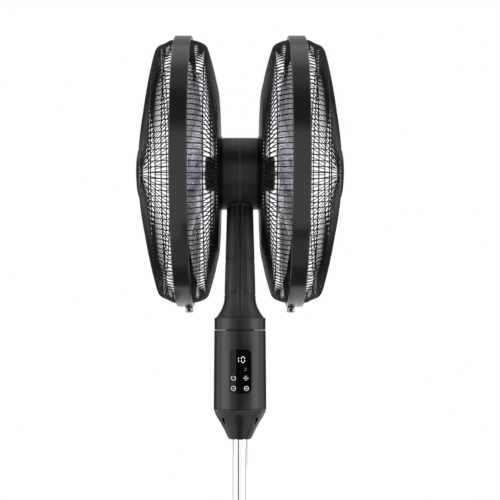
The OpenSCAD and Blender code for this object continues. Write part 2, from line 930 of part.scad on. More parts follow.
// Neck: a loft of rounded sections that keeps a flute down the front and the back
neck_low = flare_h;
neck_cut = neck_h - barrel_r * 0.72;
function mix(a, b, t) = a + (b - a) * t;
function clamped(t) = min(1, max(0, t));
function flare_at(z) = pow(1 - clamped(z / neck_low), 1.8);
function up_share(z) = clamped((z - neck_low) / (neck_cut - neck_low));
function neck_w_at(z) = mix(mix(neck_w_low, neck_w_top, up_share(z)), 2 * flare_r, flare_at(z));
function neck_d_at(z) = mix(mix(neck_d_low, neck_d_top, up_share(z)), 2 * flare_r, flare_at(z));
function round_power(z) = mix(mix(0.78, 0.96, up_share(z)), 1, flare_at(z));
function flute_half(z) = mix(7.4, 4.4, clamped(z / neck_cut));
flute_deep = 2.2;
function sign_pow(v, p) = sign(v) * pow(abs(v), p);
function flute_at(x, z) = flute_deep * pow(max(0, 1 - abs(x) / flute_half(z)), 1.2);
function neck_point(a, z) =
    let (x = neck_w_at(z) / 2 * sign_pow(cos(a), round_power(z)))
    let (y = neck_d_at(z) / 2 * sign_pow(sin(a), round_power(z)))
    [x, y - sign(y) * flute_at(x, z), z];
neck_turns = 56;
neck_levels = concat(
    [for (i = [0 : 8]) neck_low * i / 9],
    [for (i = [0 : 5]) mix(neck_low, neck_cut, i / 5)]
);
function neck_angle(i) =
    let (quarter = neck_turns / 4, q = floor(i / quarter), t = (i - q * quarter) / quarter)
    90 * q + 90 * (q % 2 == 0 ? 1 - pow(1 - t, 1.5) : pow(t, 1.5));

module neck_body() {
    n = len(neck_levels);
    points = [for (z = neck_levels) for (i = [0 : neck_turns - 1]) neck_point(neck_angle(i), z)];
    side = [for (k = [0 : n - 2]) for (i = [0 : neck_turns - 1])
        [k * neck_turns + i, (k + 1) * neck_turns + i,
            (k + 1) * neck_turns + (i + 1) % neck_turns, k * neck_turns + (i + 1) % neck_turns]];
    foot = [[for (i = [0 : neck_turns - 1]) i]];
    top = [[for (i = [neck_turns - 1 : -1 : 0]) (n - 1) * neck_turns + i]];
    polyhedron(points, concat(side, foot, top), convexity = 4);
}

module neck() {
    color("#333334")
        difference() {
            union() {
                translate([0, 0, neck_z])
                    difference() {
                        neck_body();
                        translate([0, 0, neck_h])
                            rotate([0, 90, 0])
                                cylinder(h = 4 * barrel_r, r = barrel_r + seat_gap, center = true,
                                    $fn = 180);
                    }
                translate([0, 0, head_z - barrel_r - 12])
                    cylinder(h = barrel_r + 12 - neck_tube_top, r = neck_tube_r);
                translate([0, 0, head_z - neck_tube_top - neck_lip_t])
                    cylinder(h = neck_lip_t, r = neck_lip_r);
            }
            translate([0, 0, neck_z - 1])
                cylinder(h = neck_h, r = wire_bore_r);
            around(neck_screw_n, neck_screw_ring, 45)
                translate([0, 0, neck_z - 1])
                    cylinder(h = 12.4, r = neck_screw_r + 0.05);
        }
}

// Barrel: two cups that close on the neck's tube, drawn with +Z outwards
module barrel_shell(side) {
    seam = 0.5;
    head_side(side)
        difference() {
            union() {
                rotate_extrude($fn = 180)
                    polygon([
                        [barrel_r - barrel_wall, 0],
                        [barrel_r - seam, 0],
                        [barrel_r, seam],
                        [barrel_r, barrel_half - 1],
                        [barrel_r - 1, barrel_half],
                        [5.5, barrel_half],
                        [5.5, rear_bearing_x - 2],
                        [bearing_r + 3, rear_bearing_x - 2],
                        [bearing_r + 3, barrel_half - barrel_end_t],
                        [barrel_r - barrel_wall, barrel_half - barrel_end_t]
                    ]);
                around(3, barrel_screw_ring, 180)
                    cylinder(h = barrel_half - 1, r = barrel_post_r);
            }
            translate([0, 0, rear_bearing_x])
                cylinder(h = bearing_w + 2, r = bearing_r + seat_gap / 2);
            around(3, motor_screw_ring)
                translate([0, 0, barrel_half - barrel_end_t - 1])
                    cylinder(h = barrel_end_t + 2, r = motor_screw_r + 0.2);
            // The neck's tube comes up through the lower side
            rotate([0, 90, 0])
                cylinder(h = barrel_r + 5, r = neck_tube_r + seat_gap);
            around(3, barrel_screw_ring, 180)
                translate([0, 0, side > 0 ? -1 : -2])
                    cylinder(h = side > 0 ? barrel_half + 2 : barrel_half - 6, r = barrel_screw_r + 0.06);
            if (side > 0)
                around(3, barrel_screw_ring, 180)
                    translate([0, 0, barrel_half - 2.6])
                        cylinder(h = 4, r = 3.9);
        }
}

module barrel_half_shell(side) {
    color("#252526")
        barrel_shell(side);
}

module barrel_screws() {
    color("#8d8f92")
        head_side(1)
            around(3, barrel_screw_ring, 180) {
                translate([0, 0, barrel_half - 2.5])
                    cylinder(h = 2.3, r = 3.7);
                translate([0, 0, -barrel_half + 10])
                    cylinder(h = 2 * barrel_half - 12, r = barrel_screw_r);
            }
}

module motor_case(side) {
    boss_r = bearing_r + 3;
    color("#1d1d1e")
        head_side(side)
            difference() {
                union() {
                    rotate_extrude()
                        polygon([
                            [motor_r - case_wall, barrel_half],
                            [motor_r, barrel_half],
                            [motor_r, case_front - 2],
                            [motor_r - 2, case_front],
                            [5.5, case_front],
                            [5.5, front_bearing_x],
                            [boss_r, front_bearing_x],
                            [boss_r, case_front - case_wall],
                            [motor_r - case_wall, case_front - case_wall]
                        ]);
                    around(3, motor_screw_ring)
                        translate([0, 0, barrel_half])
                            cylinder(h = motor_boss_h, r = 3.2);
                    around(3, motor_screw_ring + 3)
                        translate([-1, -1, barrel_half])
                            cube([2.4, 2, motor_boss_h]);
                }
                translate([0, 0, front_bearing_x - 1])
                    cylinder(h = bearing_w + 1, r = bearing_r + seat_gap / 2);
                around(3, motor_screw_ring)
                    translate([0, 0, barrel_half - 1])
                        cylinder(h = motor_boss_h, r = motor_screw_r + 0.05);
            }
}

module motor_screws(side) {
    color("#8d8f92")
        head_side(side)
            around(3, motor_screw_ring)
                translate([0, 0, barrel_half - barrel_end_t - 1.8]) {
                    cylinder(h = 1.8, r = 2.8);
                    cylinder(h = barrel_end_t + 1.8 + motor_boss_h - 1.4, r = motor_screw_r);
                }
}

module stator(side) {
    stack_r = motor_r - case_wall - seat_gap;
    coil_n = 9;
    color("#a86b3c")
        head_side(side)
            translate([0, 0, stator_x]) {
                linear_extrude(stator_len)
                    difference() {
                        circle(stack_r);
                        circle(stator_bore_r);
                        for (i = [0 : coil_n - 1])
                            rotate(i * 360 / coil_n)
                                translate([(stack_r + stator_bore_r) / 2, 0])
                                    square([stack_r - stator_bore_r - 5, 1.6], center = true);
                    }
                for (i = [0 : coil_n - 1])
                    rotate([0, 0, (i + 0.5) * 360 / coil_n])
                        translate([(stack_r + stator_bore_r) / 2 - 3, -3, -coil_h])
                            cube([6, 6, stator_len + 2 * coil_h]);
            }
}

module bearing(x) {
    race = 0.5;
    translate([0, 0, x])
        rotate_extrude()
            polygon([
                [shaft_r + run_gap, 0],
                [shaft_r + 1.6, 0],
                [shaft_r + 1.6, race],
                [bearing_r - 1.2, race],
                [bearing_r - 1.2, 0],
                [bearing_r, 0],
                [bearing_r, bearing_w],
                [bearing_r - 1.2, bearing_w],
                [bearing_r - 1.2, bearing_w - race],
                [shaft_r + 1.6, bearing_w - race],
                [shaft_r + 1.6, bearing_w],
                [shaft_r + run_gap, bearing_w]
            ]);
}

module bearings(side) {
    color("#c4c6c8")
        head_side(side) {
            bearing(rear_bearing_x);
            bearing(front_bearing_x);
        }
}

module motor_shaft(side) {
    color("#c4c6c8")
        head_side(side)
            translate([0, 0, rear_bearing_x - 1])
                cylinder(h = shaft_end - rear_bearing_x + 1, r = shaft_r);
}

module rotor_core(side) {
    core_x = rear_bearing_x + bearing_w + rest_gap;
    core_end = front_bearing_x - rest_gap;
    color("#5b5e62")
        head_side(side)
            difference() {
                union() {
                    translate([0, 0, core_x])
                        cylinder(h = core_end - core_x, r = shaft_r + 1.4);
                    translate([0, 0, stator_x])
                        cylinder(h = stator_len, r = stator_bore_r - move_gap);
                }
                translate([0, 0, core_x - 1])
                    cylinder(h = core_end - core_x + 2, r = shaft_r + seat_gap / 4);
            }
}

// Blade: a twisted sheet between the hub and the tip, swept forward towards the tip
blade_steps = 8;
blade_chord_steps = 7;
function blade_r(t) = mix(blade_hub_r - 2, blade_tip_r, t);
function blade_sweep(t) = 12 * t + 16 * t * t;
function blade_half_angle(t) = mix(24, 26.5, sin(180 * pow(t, 0.8))) * (1 - 0.42 * pow(t, 6));
function blade_rise(t) = mix(13.5, 10.5, t) * (1 - 0.25 * pow(t, 5));
function blade_mid(t) = hub_back + hub_len / 2 - 1.5 - 2 * t;
function blade_camber(s) = 3.2 * (1 - s * s);
function blade_thick(t, s) = mix(blade_t, 1.2, t) / 2 * (1 - 0.6 * pow(abs(s), 3));
function blade_place(t, s, face) =
    let (r = blade_r(t), a = blade_sweep(t) + blade_half_angle(t) * s)
    [r * cos(a), r * sin(a), blade_mid(t) + blade_rise(t) * s + blade_camber(s) + face * blade_thick(t, s)];

module blade() {
    nt = blade_steps;
    ns = blade_chord_steps;
    row = ns + 1;
    half_n = (nt + 1) * row;
    points = concat(
        [for (i = [0 : nt]) for (j = [0 : ns]) blade_place(i / nt, 2 * j / ns - 1, 1)],
        [for (i = [0 : nt]) for (j = [0 : ns]) blade_place(i / nt, 2 * j / ns - 1, -1)]
    );
    upper = [for (i = [0 : nt - 1]) for (j = [0 : ns - 1]) for (k = [0, 1])
        k == 0 ? [i * row + j, (i + 1) * row + j + 1, (i + 1) * row + j]
        : [i * row + j, i * row + j + 1, (i + 1) * row + j + 1]];
    lower = [for (f = upper) [half_n + f[2], half_n + f[1], half_n + f[0]]];
    tip = nt * row;
    rim = concat(
        [for (j = [0 : ns - 1]) [j, half_n + j, half_n + j + 1, j + 1]],
        [for (j = [0 : ns - 1]) [tip + j + 1, half_n + tip + j + 1, half_n + tip + j, tip + j]],
        [for (i = [0 : nt - 1]) let (a = i * row, b = a + row) [b, half_n + b, half_n + a, a]],
        [for (i = [0 : nt - 1]) let (a = i * row + ns, b = a + row) [a, half_n + a, half_n + b, b]]
    );
    polyhedron(points, concat(upper, lower, rim), convexity = 4);
}

module fan_blades(side) {
    wall = 2.4;
    top = hub_back + hub_len;
    color("#a9a6bb")
        head_side(side)
            difference() {
                union() {
                    rotate_extrude()
                        polygon([
                            [blade_hub_r - wall, hub_back],
                            [blade_hub_r, hub_back],
                            [blade_hub_r, top - 8],
                            [blade_hub_r - 3, top - 2.5],
                            [blade_hub_r - 9, top],
                            [shaft_r + seat_gap / 2, top],
                            [shaft_r + seat_gap / 2, hub_back + 3],
                            [shaft_r + 4, hub_back + 3],
                            [shaft_r + 4, top - wall],
                            [blade_hub_r - 10, top - wall],
                            [blade_hub_r - wall - 3, top - wall - 2],
                            [blade_hub_r - wall, top - 9]
                        ]);
                    difference() {
                        around(blade_n, 0)
                            blade();
                        translate([0, 0, hub_back - 10])
                            cylinder(h = hub_len + 20, r = blade_hub_r - wall / 2);
                    }
                }
            }
}

module spinner(side) {
    x0 = hub_back + hub_len;
    color("#b4b1c2")
        head_side(side)
            difference() {
                rotate_extrude()
                    polygon([
                        [0, x0],
                        [17, x0],
                        [17, x0 + 5],
                        [15.5, x0 + 11],
                        [12, x0 + 15],
                        [6, x0 + 17.5],
                        [0, x0 + 18]
                    ]);
                translate([0, 0, x0 - 1])
                    cylinder(h = 1 + shaft_end - x0 + 1, r = shaft_r + seat_gap / 2);
                around(8, 18.4)
                    translate([0, 0, x0 + 4])
                        cylinder(h = 20, r = 2.6, $fn = 24);
            }
}

module lock_nut(side) {
    x0 = plate_back + hub_plate_t;
    skirt_h = 3;
    grip_n = 12;
    grip_r = 2.4;
    color("#202021")
        head_side(side)
            difference() {
                union() {
                    translate([0, 0, x0])
                        cylinder(h = nut_t, r = motor_r + nut_grip);
                    translate([0, 0, x0])
                        cylinder(h = skirt_h, r = motor_r + nut_grip + 3);
                }
                translate([0, 0, x0 - 1])
                    cylinder(h = nut_t + 2, r = motor_r + seat_gap);
                around(grip_n, motor_r + nut_grip + grip_r / 2)
                    translate([0, 0, x0 + skirt_h + 0.6])
                        cylinder(h = nut_t, r = grip_r, $fn = 24);
            }
}

// Cages: each spoke is a bent strip that follows the outline, and rings of wire tie them together
function inner_line(line, t) = [for (i = [len(line) - 1 : -1 : 0])
    let (a = line[max(0, i - 1)], b = line[min(len(line) - 1, i + 1)])
    let (d = (b - a) / norm(b - a), s = line[0][0] < line[len(line) - 1][0] ? 1 : -1)
    [line[i][0] + s * d[1] * t, line[i][1] - s * d[0] * t]];
function line_x(line, r) = lookup(r, [for (p = line) [p[1], p[0]]]);

module spokes(line) {
    strip = concat(line, inner_line(line, spoke_t));
    for (i = [0 : spoke_n - 1])
        rotate([90, 0, i * 360 / spoke_n])
            linear_extrude(spoke_w, center = true)
                polygon([for (p = strip) [p[1], p[0]]]);
}

module tie_ring(x, r, half) {
    translate([0, 0, x - half])
        ring(r + half, r - half, 2 * half);
}

module front_grille(side) {
    color("#1b1b1c")
        head_side(side) {
            spokes(front_line);
            tie_ring(ring_mid + rim_off, rim_r, rim_wire_r);
            for (r = front_rings)
                tie_ring(line_x(front_line, r) - spoke_t, r - tie_w / 2, tie_w / 2);
            translate([0, 0, cap_x - hub_plate_t])
                ring(cap_r + 3, 12, hub_plate_t);
        }
}

module rear_grille(side) {
    color("#1b1b1c")
        head_side(side) {
            spokes(rear_line);
            tie_ring(ring_mid - rim_off, rim_r, rim_wire_r);
            for (r = rear_rings)
                tie_ring(line_x(rear_line, r) + spoke_t, r - tie_w / 2, tie_w / 2);
            translate([0, 0, plate_back])
                ring(hub_plate_r, motor_r + 2 * seat_gap, hub_plate_t);
        }
}

module guard_ring(side) {
    half = ring_w / 2;
    lip = rim_r + 1;
    inside = ring_r - ring_t;
    color("#434344")
        head_side(side)
            difference() {
                union() {
                    translate([0, 0, ring_mid])
                        rotate_extrude($fn = 180)
                            polygon([
                                [lip, -half],
                                [ring_r - 1.2, -half],
                                [ring_r, -half + 1.2],
                                [ring_r, half - 1.2],
                                [ring_r - 1.2, half],
                                [lip, half],
                                [lip, half - 2],
                                [inside, half - 2],
                                [inside, -half + 2],
                                [lip, -half + 2]
                            ]);
                    // Two lugs under the split at the bottom, which the clamp screw draws together
                    for (s = [-1, 1])
                        translate([inside, s * (lug_gap + lug_t) / 2 - lug_t / 2, lug_x - lug_w / 2])
                            cube([ring_t + lug_drop, lug_t, lug_w]);
                }
                translate([lip - 5, -lug_gap / 2, ring_mid - half - 1])
                    cube([ring_r + lug_drop + 1 - lip + 5, lug_gap, ring_w + 2]);
                translate([-clamp_z, 0, lug_x])
                    rotate([90, 0, 0])
                        cylinder(h = 4 * (lug_gap + lug_t), r = clamp_r + 0.1, center = true);
            }
}

module clamp_screw(side) {
    face = lug_gap / 2 + lug_t;
    color("#9a9c9f")
        head_side(side)
            translate([-clamp_z, 0, lug_x])
                rotate([90, 0, 0]) {
                    translate([0, 0, -face - 5])
                        cylinder(h = 2 * face + 5, r = clamp_r);
                    translate([0, 0, face])
                        cylinder(h = 2.6, r = 4.2);
                    translate([0, 0, -face - 3.2])
                        cylinder(h = 3.2, r = 4, $fn = 6);
                }
}

module front_cap(side) {
    color("#1f1f20")
        head_side(side)
            rotate_extrude()
                polygon([
                    [0, cap_x],
                    [cap_r - 1, cap_x],
                    [cap_r, cap_x + 1],
                    [cap_r - 1.4, cap_front - 4],
                    [cap_r * 0.79, cap_front - 2.6],
                    [cap_r * 0.53, cap_front - 1.5],
                    [cap_r * 0.26, cap_front - 0.6],
                    [0, cap_front]
                ]);
}

base_plate();
base_feet();
base_weight();
base_cover();
base_screws();
pole_bolts();
outer_pole();
pole_bush();
lock_collar();
inner_pole();
pole_glide();
lower_cone();
pole_screw();
control_housing();
power_inlet();
panel_lens();
display_board();
control_board();
board_screws();
stepper_motor();
stepper_screws();
drive_pinion();
swivel_washer();
swivel_collar();
swivel_gear();
swivel_clip();
neck_screws();
neck();
barrel_screws();
barrel_half_shell(-1);  // left_barrel_half
barrel_half_shell(1);  // right_barrel_half
motor_case(-1);  // left_motor_case
motor_case(1);  // right_motor_case
stator(-1);  // left_stator
stator(1);  // right_stator
motor_screws(-1);  // left_motor_screws
motor_screws(1);  // right_motor_screws
bearings(-1);  // left_bearings
bearings(1);  // right_bearings
motor_shaft(-1);  // left_motor_shaft
motor_shaft(1);  // right_motor_shaft
rotor_core(-1);  // left_rotor_core
rotor_core(1);  // right_rotor_core
fan_blades(-1);  // left_fan_blades
fan_blades(1);  // right_fan_blades
spinner(-1);  // left_spinner
spinner(1);  // right_spinner
lock_nut(-1);  // left_lock_nut
lock_nut(1);  // right_lock_nut
rear_grille(-1);  // left_rear_grille
rear_grille(1);  // right_rear_grille
front_grille(-1);  // left_front_grille
front_grille(1);  // right_front_grille
guard_ring(-1);  // left_guard_ring
guard_ring(1);  // right_guard_ring
clamp_screw(-1);  // left_clamp_screw
clamp_screw(1);  // right_clamp_screw
front_cap(-1);  // left_front_cap
front_cap(1);  // right_front_cap
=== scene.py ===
# %% [markdown]
# # A pedestal fan with two heads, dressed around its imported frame
# The frame holds every CAD piece at its real size and place, with the bodies that move. This script
# keeps the construction as it is and gives each visible piece its real surface: cages of round wire,
# twisted blades, moulded shells with soft edges, and a finish worked out by nodes.

import json
import math

import bmesh
import bpy
import numpy as np
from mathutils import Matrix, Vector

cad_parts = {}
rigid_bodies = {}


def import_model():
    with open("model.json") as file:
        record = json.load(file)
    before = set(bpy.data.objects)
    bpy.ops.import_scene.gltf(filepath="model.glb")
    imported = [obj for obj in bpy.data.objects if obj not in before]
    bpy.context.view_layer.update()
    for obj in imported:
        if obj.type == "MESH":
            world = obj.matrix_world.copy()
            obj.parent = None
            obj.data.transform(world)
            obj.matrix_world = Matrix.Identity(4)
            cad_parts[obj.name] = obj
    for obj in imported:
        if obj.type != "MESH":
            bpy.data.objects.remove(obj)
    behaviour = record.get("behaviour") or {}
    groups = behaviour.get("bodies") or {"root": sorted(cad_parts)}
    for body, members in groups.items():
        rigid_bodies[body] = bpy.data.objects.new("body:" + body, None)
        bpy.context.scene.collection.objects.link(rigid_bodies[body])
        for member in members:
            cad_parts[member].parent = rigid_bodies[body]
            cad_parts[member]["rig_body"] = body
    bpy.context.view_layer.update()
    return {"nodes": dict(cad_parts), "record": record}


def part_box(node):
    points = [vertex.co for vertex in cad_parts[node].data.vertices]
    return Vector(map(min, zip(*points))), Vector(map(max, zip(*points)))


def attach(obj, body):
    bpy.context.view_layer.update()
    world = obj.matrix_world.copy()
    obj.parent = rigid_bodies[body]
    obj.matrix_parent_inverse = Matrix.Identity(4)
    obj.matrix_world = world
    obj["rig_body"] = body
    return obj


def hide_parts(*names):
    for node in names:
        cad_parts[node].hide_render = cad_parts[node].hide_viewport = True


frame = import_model()
nodes = frame["nodes"]
scene = bpy.context.scene
MM = 0.001
SIDES = (("left", -1), ("right", 1))

# %% [markdown]
# ## Sizes from the frame
# Every measure that a new surface needs is read from the box of the CAD node that it stands for, so a
# surface meets its neighbours by itself. All lengths below are in metres.

# %% Read the sizes
cap_low, cap_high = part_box("right_front_cap")
head_z = (cap_low.z + cap_high.z) / 2
cap_front = cap_high.x
ring_low, ring_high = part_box("right_guard_ring")
ring_r = ring_high.y
ring_back, ring_front = ring_low.x, ring_high.x
ring_mid = (ring_back + ring_front) / 2
barrel_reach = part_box("right_barrel_half")[1]
barrel_r, barrel_half = barrel_reach.y, barrel_reach.x
neck_foot_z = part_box("neck")[0].z
housing_low, housing_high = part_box("control_housing")
lens_low, lens_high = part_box("panel_lens")
print(f"head axis {head_z:.4f}, guard ring {ring_r:.4f}, barrel {barrel_r:.4f}")

# %% [markdown]
# ## Camera
# The picture was taken level with the top of the control column, about a metre and a half away. The
# camera looks along +Y and is shifted upwards, so that upright edges stay upright.

# %% Place the camera
camera_away = 1.565
camera_drop = 0.241
camera_height = head_z - camera_drop
camera_data = bpy.data.cameras.new("studio_camera")
camera_data.sensor_width = 36
camera_data.lens = 72
camera_data.shift_x = 0.02
camera_data.shift_y = 0.156
camera = bpy.data.objects.new("studio_camera", camera_data)
camera.location = (0, -camera_away, camera_height)
camera.rotation_euler = (math.pi / 2, 0, 0)
scene.collection.objects.link(camera)
scene.camera = camera
print("camera", tuple(round(v, 3) for v in camera.location))

# %% [markdown]
# ## Node maths as plain expressions
# A shader is easier to read as arithmetic. The class below wraps one socket: plus and times add the
# Math node that does it, and `node` adds any other node with its settings and inputs.


# %% A small class for sockets
class Socket:
    """Wraps an output socket, so that expressions on it build Math nodes."""

    def __init__(self, tree, output):
        self.tree = tree
        self.output = output

    def math(self, operation, *values):
        return node(self.tree, "ShaderNodeMath", {"operation": operation}, dict(enumerate(values)))

    def __add__(self, other):
        return self.math("ADD", self, other)

    def __radd__(self, other):
        return self.math("ADD", other, self)

    def __mul__(self, other):
        return self.math("MULTIPLY", self, other)

    def __rmul__(self, other):
        return self.math("MULTIPLY", other, self)


def node(tree, kind, settings=None, inputs=None, output=0):
    """Adds a node, applies its settings, then fills its sockets with values or links."""
    made = tree.nodes.new(kind)
    for key, value in (settings or {}).items():
        setattr(made, key, value)
    for key, value in (inputs or {}).items():
        if isinstance(value, Socket):
            tree.links.new(value.output, made.inputs[key])
        elif value is not None:
            made.inputs[key].default_value = value
    return Socket(tree, made.outputs[output])


# %% [markdown]
# ## One starting point for every finish
# Most surfaces here are one Principled shader. Its constants go straight on its sockets, and only what
# varies over the surface is linked: colour, roughness and the normal from a bump.


# %% Material helpers
def grey(level, alpha=1.0):
    return (level, level, level, alpha)


def material(name, colour, roughness, **constants):
    """A new material with one Principled shader. Returns the material, its tree and the shader."""
    made = bpy.data.materials.new(name)
    made.use_nodes = True
    tree = made.node_tree
    shader = tree.nodes["Principled BSDF"]
    shader.inputs["Base Color"].default_value = (*colour, 1)
    shader.inputs["Roughness"].default_value = roughness
    for key, value in constants.items():
        shader.inputs[key.replace("_", " ")].default_value = value
    made.diffuse_color = (*colour, 1)
    return made, tree, shader


def object_place(tree):
    """Object coordinates, in metres from the frame's origin."""
    return node(tree, "ShaderNodeTexCoord", output=3)


def noise(tree, scale, detail=2.0, rough=0.5, place=None):
    """A noise value around 0.5; scale is in cells a metre."""
    return node(
        tree,
        "ShaderNodeTexNoise",
        {"noise_dimensions": "3D"},
        {"Vector": place or object_place(tree), "Scale": scale, "Detail": detail, "Roughness": rough},
    )


def blend_colour(tree, share, first, second):
    """Mixes two colours, each a tuple or a socket, by a share from 0 to 1."""
    return node(
        tree,
        "ShaderNodeMix",
        {"data_type": "RGBA", "clamp_factor": True},
        {0: share, 6: first if isinstance(first, Socket) else (*first, 1),
         7: second if isinstance(second, Socket) else (*second, 1)},
        output=2,
    )


def feed(shader, name, value):
    value.tree.links.new(value.output, shader.inputs[name])


def painted_shade(tree):
    """The share of painted shade that a surface stores in its creases, recesses or blade rims; it is 0 on a
    mesh that stores none.
    """
    return node(tree, "ShaderNodeAttribute", {"attribute_name": "painted_shade"}, output=2)


def bump(tree, shader, height, strength, distance):
    feed(shader, "Normal", node(
        tree, "ShaderNodeBump", None, {"Strength": strength, "Distance": distance, "Height": height}))


# %% [markdown]
# ## Moulded plastics
# Satin mouldings take a fine spark-eroded grain from the tool, which breaks up the highlight, and a very
# faint cloudiness from handling. The grain is a bump of a tenth of a millimetre at about half a
# millimetre a cell, and the cloudiness goes into the roughness.


# %% Plastics
def moulded_plastic(name, colour, roughness, grain, variation=0.12, **constants):
    """Satin or glossy moulding: fine grain in the bump, soft clouds in colour and roughness."""
    made, tree, shader = material(name, colour, roughness, **constants)
    cloud = noise(tree, 14, 3)
    fine = noise(tree, 2400, 2)
    darker = tuple(c * (1 - variation) for c in colour)
    lighter = tuple(min(1, c * (1 + variation)) for c in colour)
    tone = blend_colour(tree, cloud, darker, lighter)
    # Painted shade: the stored share darkens creases and recesses to 0.15 of the colour and makes them
    # rougher.
    feed(shader, "Base Color", blend_colour(tree, painted_shade(tree), tone, tuple(c * 0.15 for c in colour)))
    feed(shader, "Roughness", cloud * 0.08 + fine * 0.06 + painted_shade(tree) * 0.3 + (roughness - 0.07))
    bump(tree, shader, fine, grain, 0.00008)
    return made


charcoal = moulded_plastic("charcoal_plastic", (0.012, 0.012, 0.0123), 0.3, 0.35, Specular_IOR_Level=0.4)
neck_plastic = moulded_plastic("neck_plastic", (0.019, 0.019, 0.0193), 0.34, 0.35, Specular_IOR_Level=0.5)
# Painted highlight: the neck's bead is a much paler grey than the neck, so that it shows as a light line.
bead_highlight_paint = moulded_plastic("bead_highlight_paint", (0.11, 0.11, 0.112), 0.3, 0.2, Specular_IOR_Level=0.5)
barrel_black = moulded_plastic("barrel_plastic", (0.012, 0.012, 0.0124), 0.4, 0.35, Specular_IOR_Level=0.35)
ring_plastic = moulded_plastic("ring_plastic", (0.013, 0.013, 0.0128), 0.2, 0.15, Specular_IOR_Level=0.45)
black_plastic = moulded_plastic("black_plastic", (0.008, 0.008, 0.0084), 0.35, 0.3, Specular_IOR_Level=0.3)
white_nylon = moulded_plastic("white_nylon", (0.74, 0.73, 0.68), 0.45, 0.2, 0.04)
foot_rubber = moulded_plastic("foot_rubber", (0.02, 0.02, 0.02), 0.75, 0.6)
panel_gloss = moulded_plastic("panel_gloss", (0.002, 0.002, 0.0022), 0.1, 0.0, 0.05, Specular_IOR_Level=0.3)
print("darkest plastic", panel_gloss.name, "and palest", white_nylon.name)

# %% [markdown]
# ## Blade plastic
# The blades are moulded in a tinted clear plastic, nearly white where light comes through. Along the
# rim of each blade, where the eye looks along the sheet, a dark violet is painted as shade, from a
# share stored on the mesh, so it stays in its place from any side. Most of the light is let through.


# %% Blades and coated wire
def tinted_blade(name):
    """Clear lavender plastic in soft clouds of paler and darker tone, and painted shade in dark violet
    along each blade's rim.
    """
    made, tree, shader = material(name, (0.85, 0.84, 0.92), 0.1, Transmission_Weight=0.97, IOR=1.1)
    cloud = noise(tree, 9, 2)
    body = blend_colour(tree, cloud, (0.72, 0.7, 0.88), (0.95, 0.94, 0.99))
    # Painted shade: the rim share turns the colour dark violet along each blade's edges.
    feed(shader, "Base Color", blend_colour(tree, painted_shade(tree), body, (0.1, 0.08, 0.2)))
    feed(shader, "Roughness", cloud * 0.08 + 0.06)
    feed(shader, "Alpha", painted_shade(tree) * 0.45 + 0.5)
    return made


def coated_wire(name):
    """Dip-coated steel wire: gloss black with the slight ripple of the coat."""
    made, tree, shader = material(name, (0.002, 0.002, 0.0022), 0.32, Specular_IOR_Level=0.16)
    ripple = noise(tree, 260, 2)
    feed(shader, "Roughness", ripple * 0.16 + 0.14)
    bump(tree, shader, ripple, 0.25, 0.0003)
    return made


blade_plastic = tinted_blade("blade_plastic")
cage_wire = coated_wire("cage_wire")

# %% [markdown]
# ## Metals
# Chrome is a mirror with hardly any roughness, zinc and turned steel carry fine lines from the tool,
# and the cast weight is rough and dark. Copper windings are rows of wire, so their bump is a wave.


# %% Metal finishes
def metal(name, colour, roughness, line_scale, line_share, grain=0.1):
    """Metal with fine lines: stretched noise breaks up the roughness. The stored painted shade darkens
    recesses.
    """
    made, tree, shader = material(name, colour, roughness, Metallic=1.0)
    feed(shader, "Base Color", blend_colour(tree, painted_shade(tree), colour, (0.02, 0.02, 0.02)))
    place = node(
        tree, "ShaderNodeMapping", None,
        {"Vector": object_place(tree), "Scale": (line_scale, line_scale, line_scale * 0.08)})
    lines = noise(tree, 1, 4, 0.6, place)
    feed(shader, "Roughness", lines * line_share + (roughness - line_share / 2))
    bump(tree, shader, lines, grain, 0.00005)
    return made


chrome = metal("chrome_tube", (0.93, 0.93, 0.94), 0.05, 500, 0.04, 0.0)
zinc_steel = metal("zinc_steel", (0.56, 0.57, 0.59), 0.3, 900, 0.2)
motor_steel = metal("motor_steel", (0.46, 0.47, 0.49), 0.28, 900, 0.2)
weight_steel = metal("weight_steel", (0.16, 0.16, 0.165), 0.62, 300, 0.2, 0.5)


# %% Coils and boards
def winding(name):
    """Varnished copper wire laid in rows: a fine wave drives the bump, and a colour that is darker in the
    hollows between rows as painted shade.
    """
    made, tree, shader = material(name, (0.45, 0.2, 0.08), 0.35, Metallic=1.0)
    rows = node(tree, "ShaderNodeTexWave", {"bands_direction": "DIAGONAL"},
                {"Vector": object_place(tree), "Scale": 600, "Distortion": 0.6}, output=1)
    feed(shader, "Base Color", blend_colour(tree, rows, (0.3, 0.12, 0.05), (0.52, 0.24, 0.1)))
    bump(tree, shader, rows, 0.6, 0.0004)
    return made


def circuit(name):
    """Green solder mask with lighter tracks: two crossed brick patterns make the tracks."""
    made, tree, shader = material(name, (0.01, 0.09, 0.04), 0.35)
    tracks = node(tree, "ShaderNodeTexBrick", None,
                  {"Vector": object_place(tree), "Scale": 90, "Mortar Size": 0.03}, output=1)
    feed(shader, "Base Color", blend_colour(tree, tracks, (0.01, 0.08, 0.035), (0.03, 0.17, 0.08)))
    return made


copper_winding = winding("copper_winding")
circuit_board = circuit("circuit_board")


# %% [markdown]
# ## Lit marks
# Behind the window, lamps shine through a number and four touch symbols, and a fifth symbol is off and
# hardly shows. Each lit one is a white surface that gives off a little light of its own; the fifth is a
# dim grey with a very faint painted glow.


# %% Lit marks and the list of finishes
def lit_mark(name, strength, colour=(0.9, 0.9, 0.92)):
    """A printed or lit mark on the panel, with a faint unevenness of its lamp."""
    made, tree, shader = material(name, colour, 0.4)
    shader.inputs["Emission Strength"].default_value = strength
    glow = noise(tree, 300, 1)
    feed(shader, "Emission Color", blend_colour(tree, glow, (0.85, 0.86, 0.95), (1, 1, 1)))
    return made


digit_glow = lit_mark("digit_glow", 1.1)
icon_glow = lit_mark("icon_glow", 0.6)
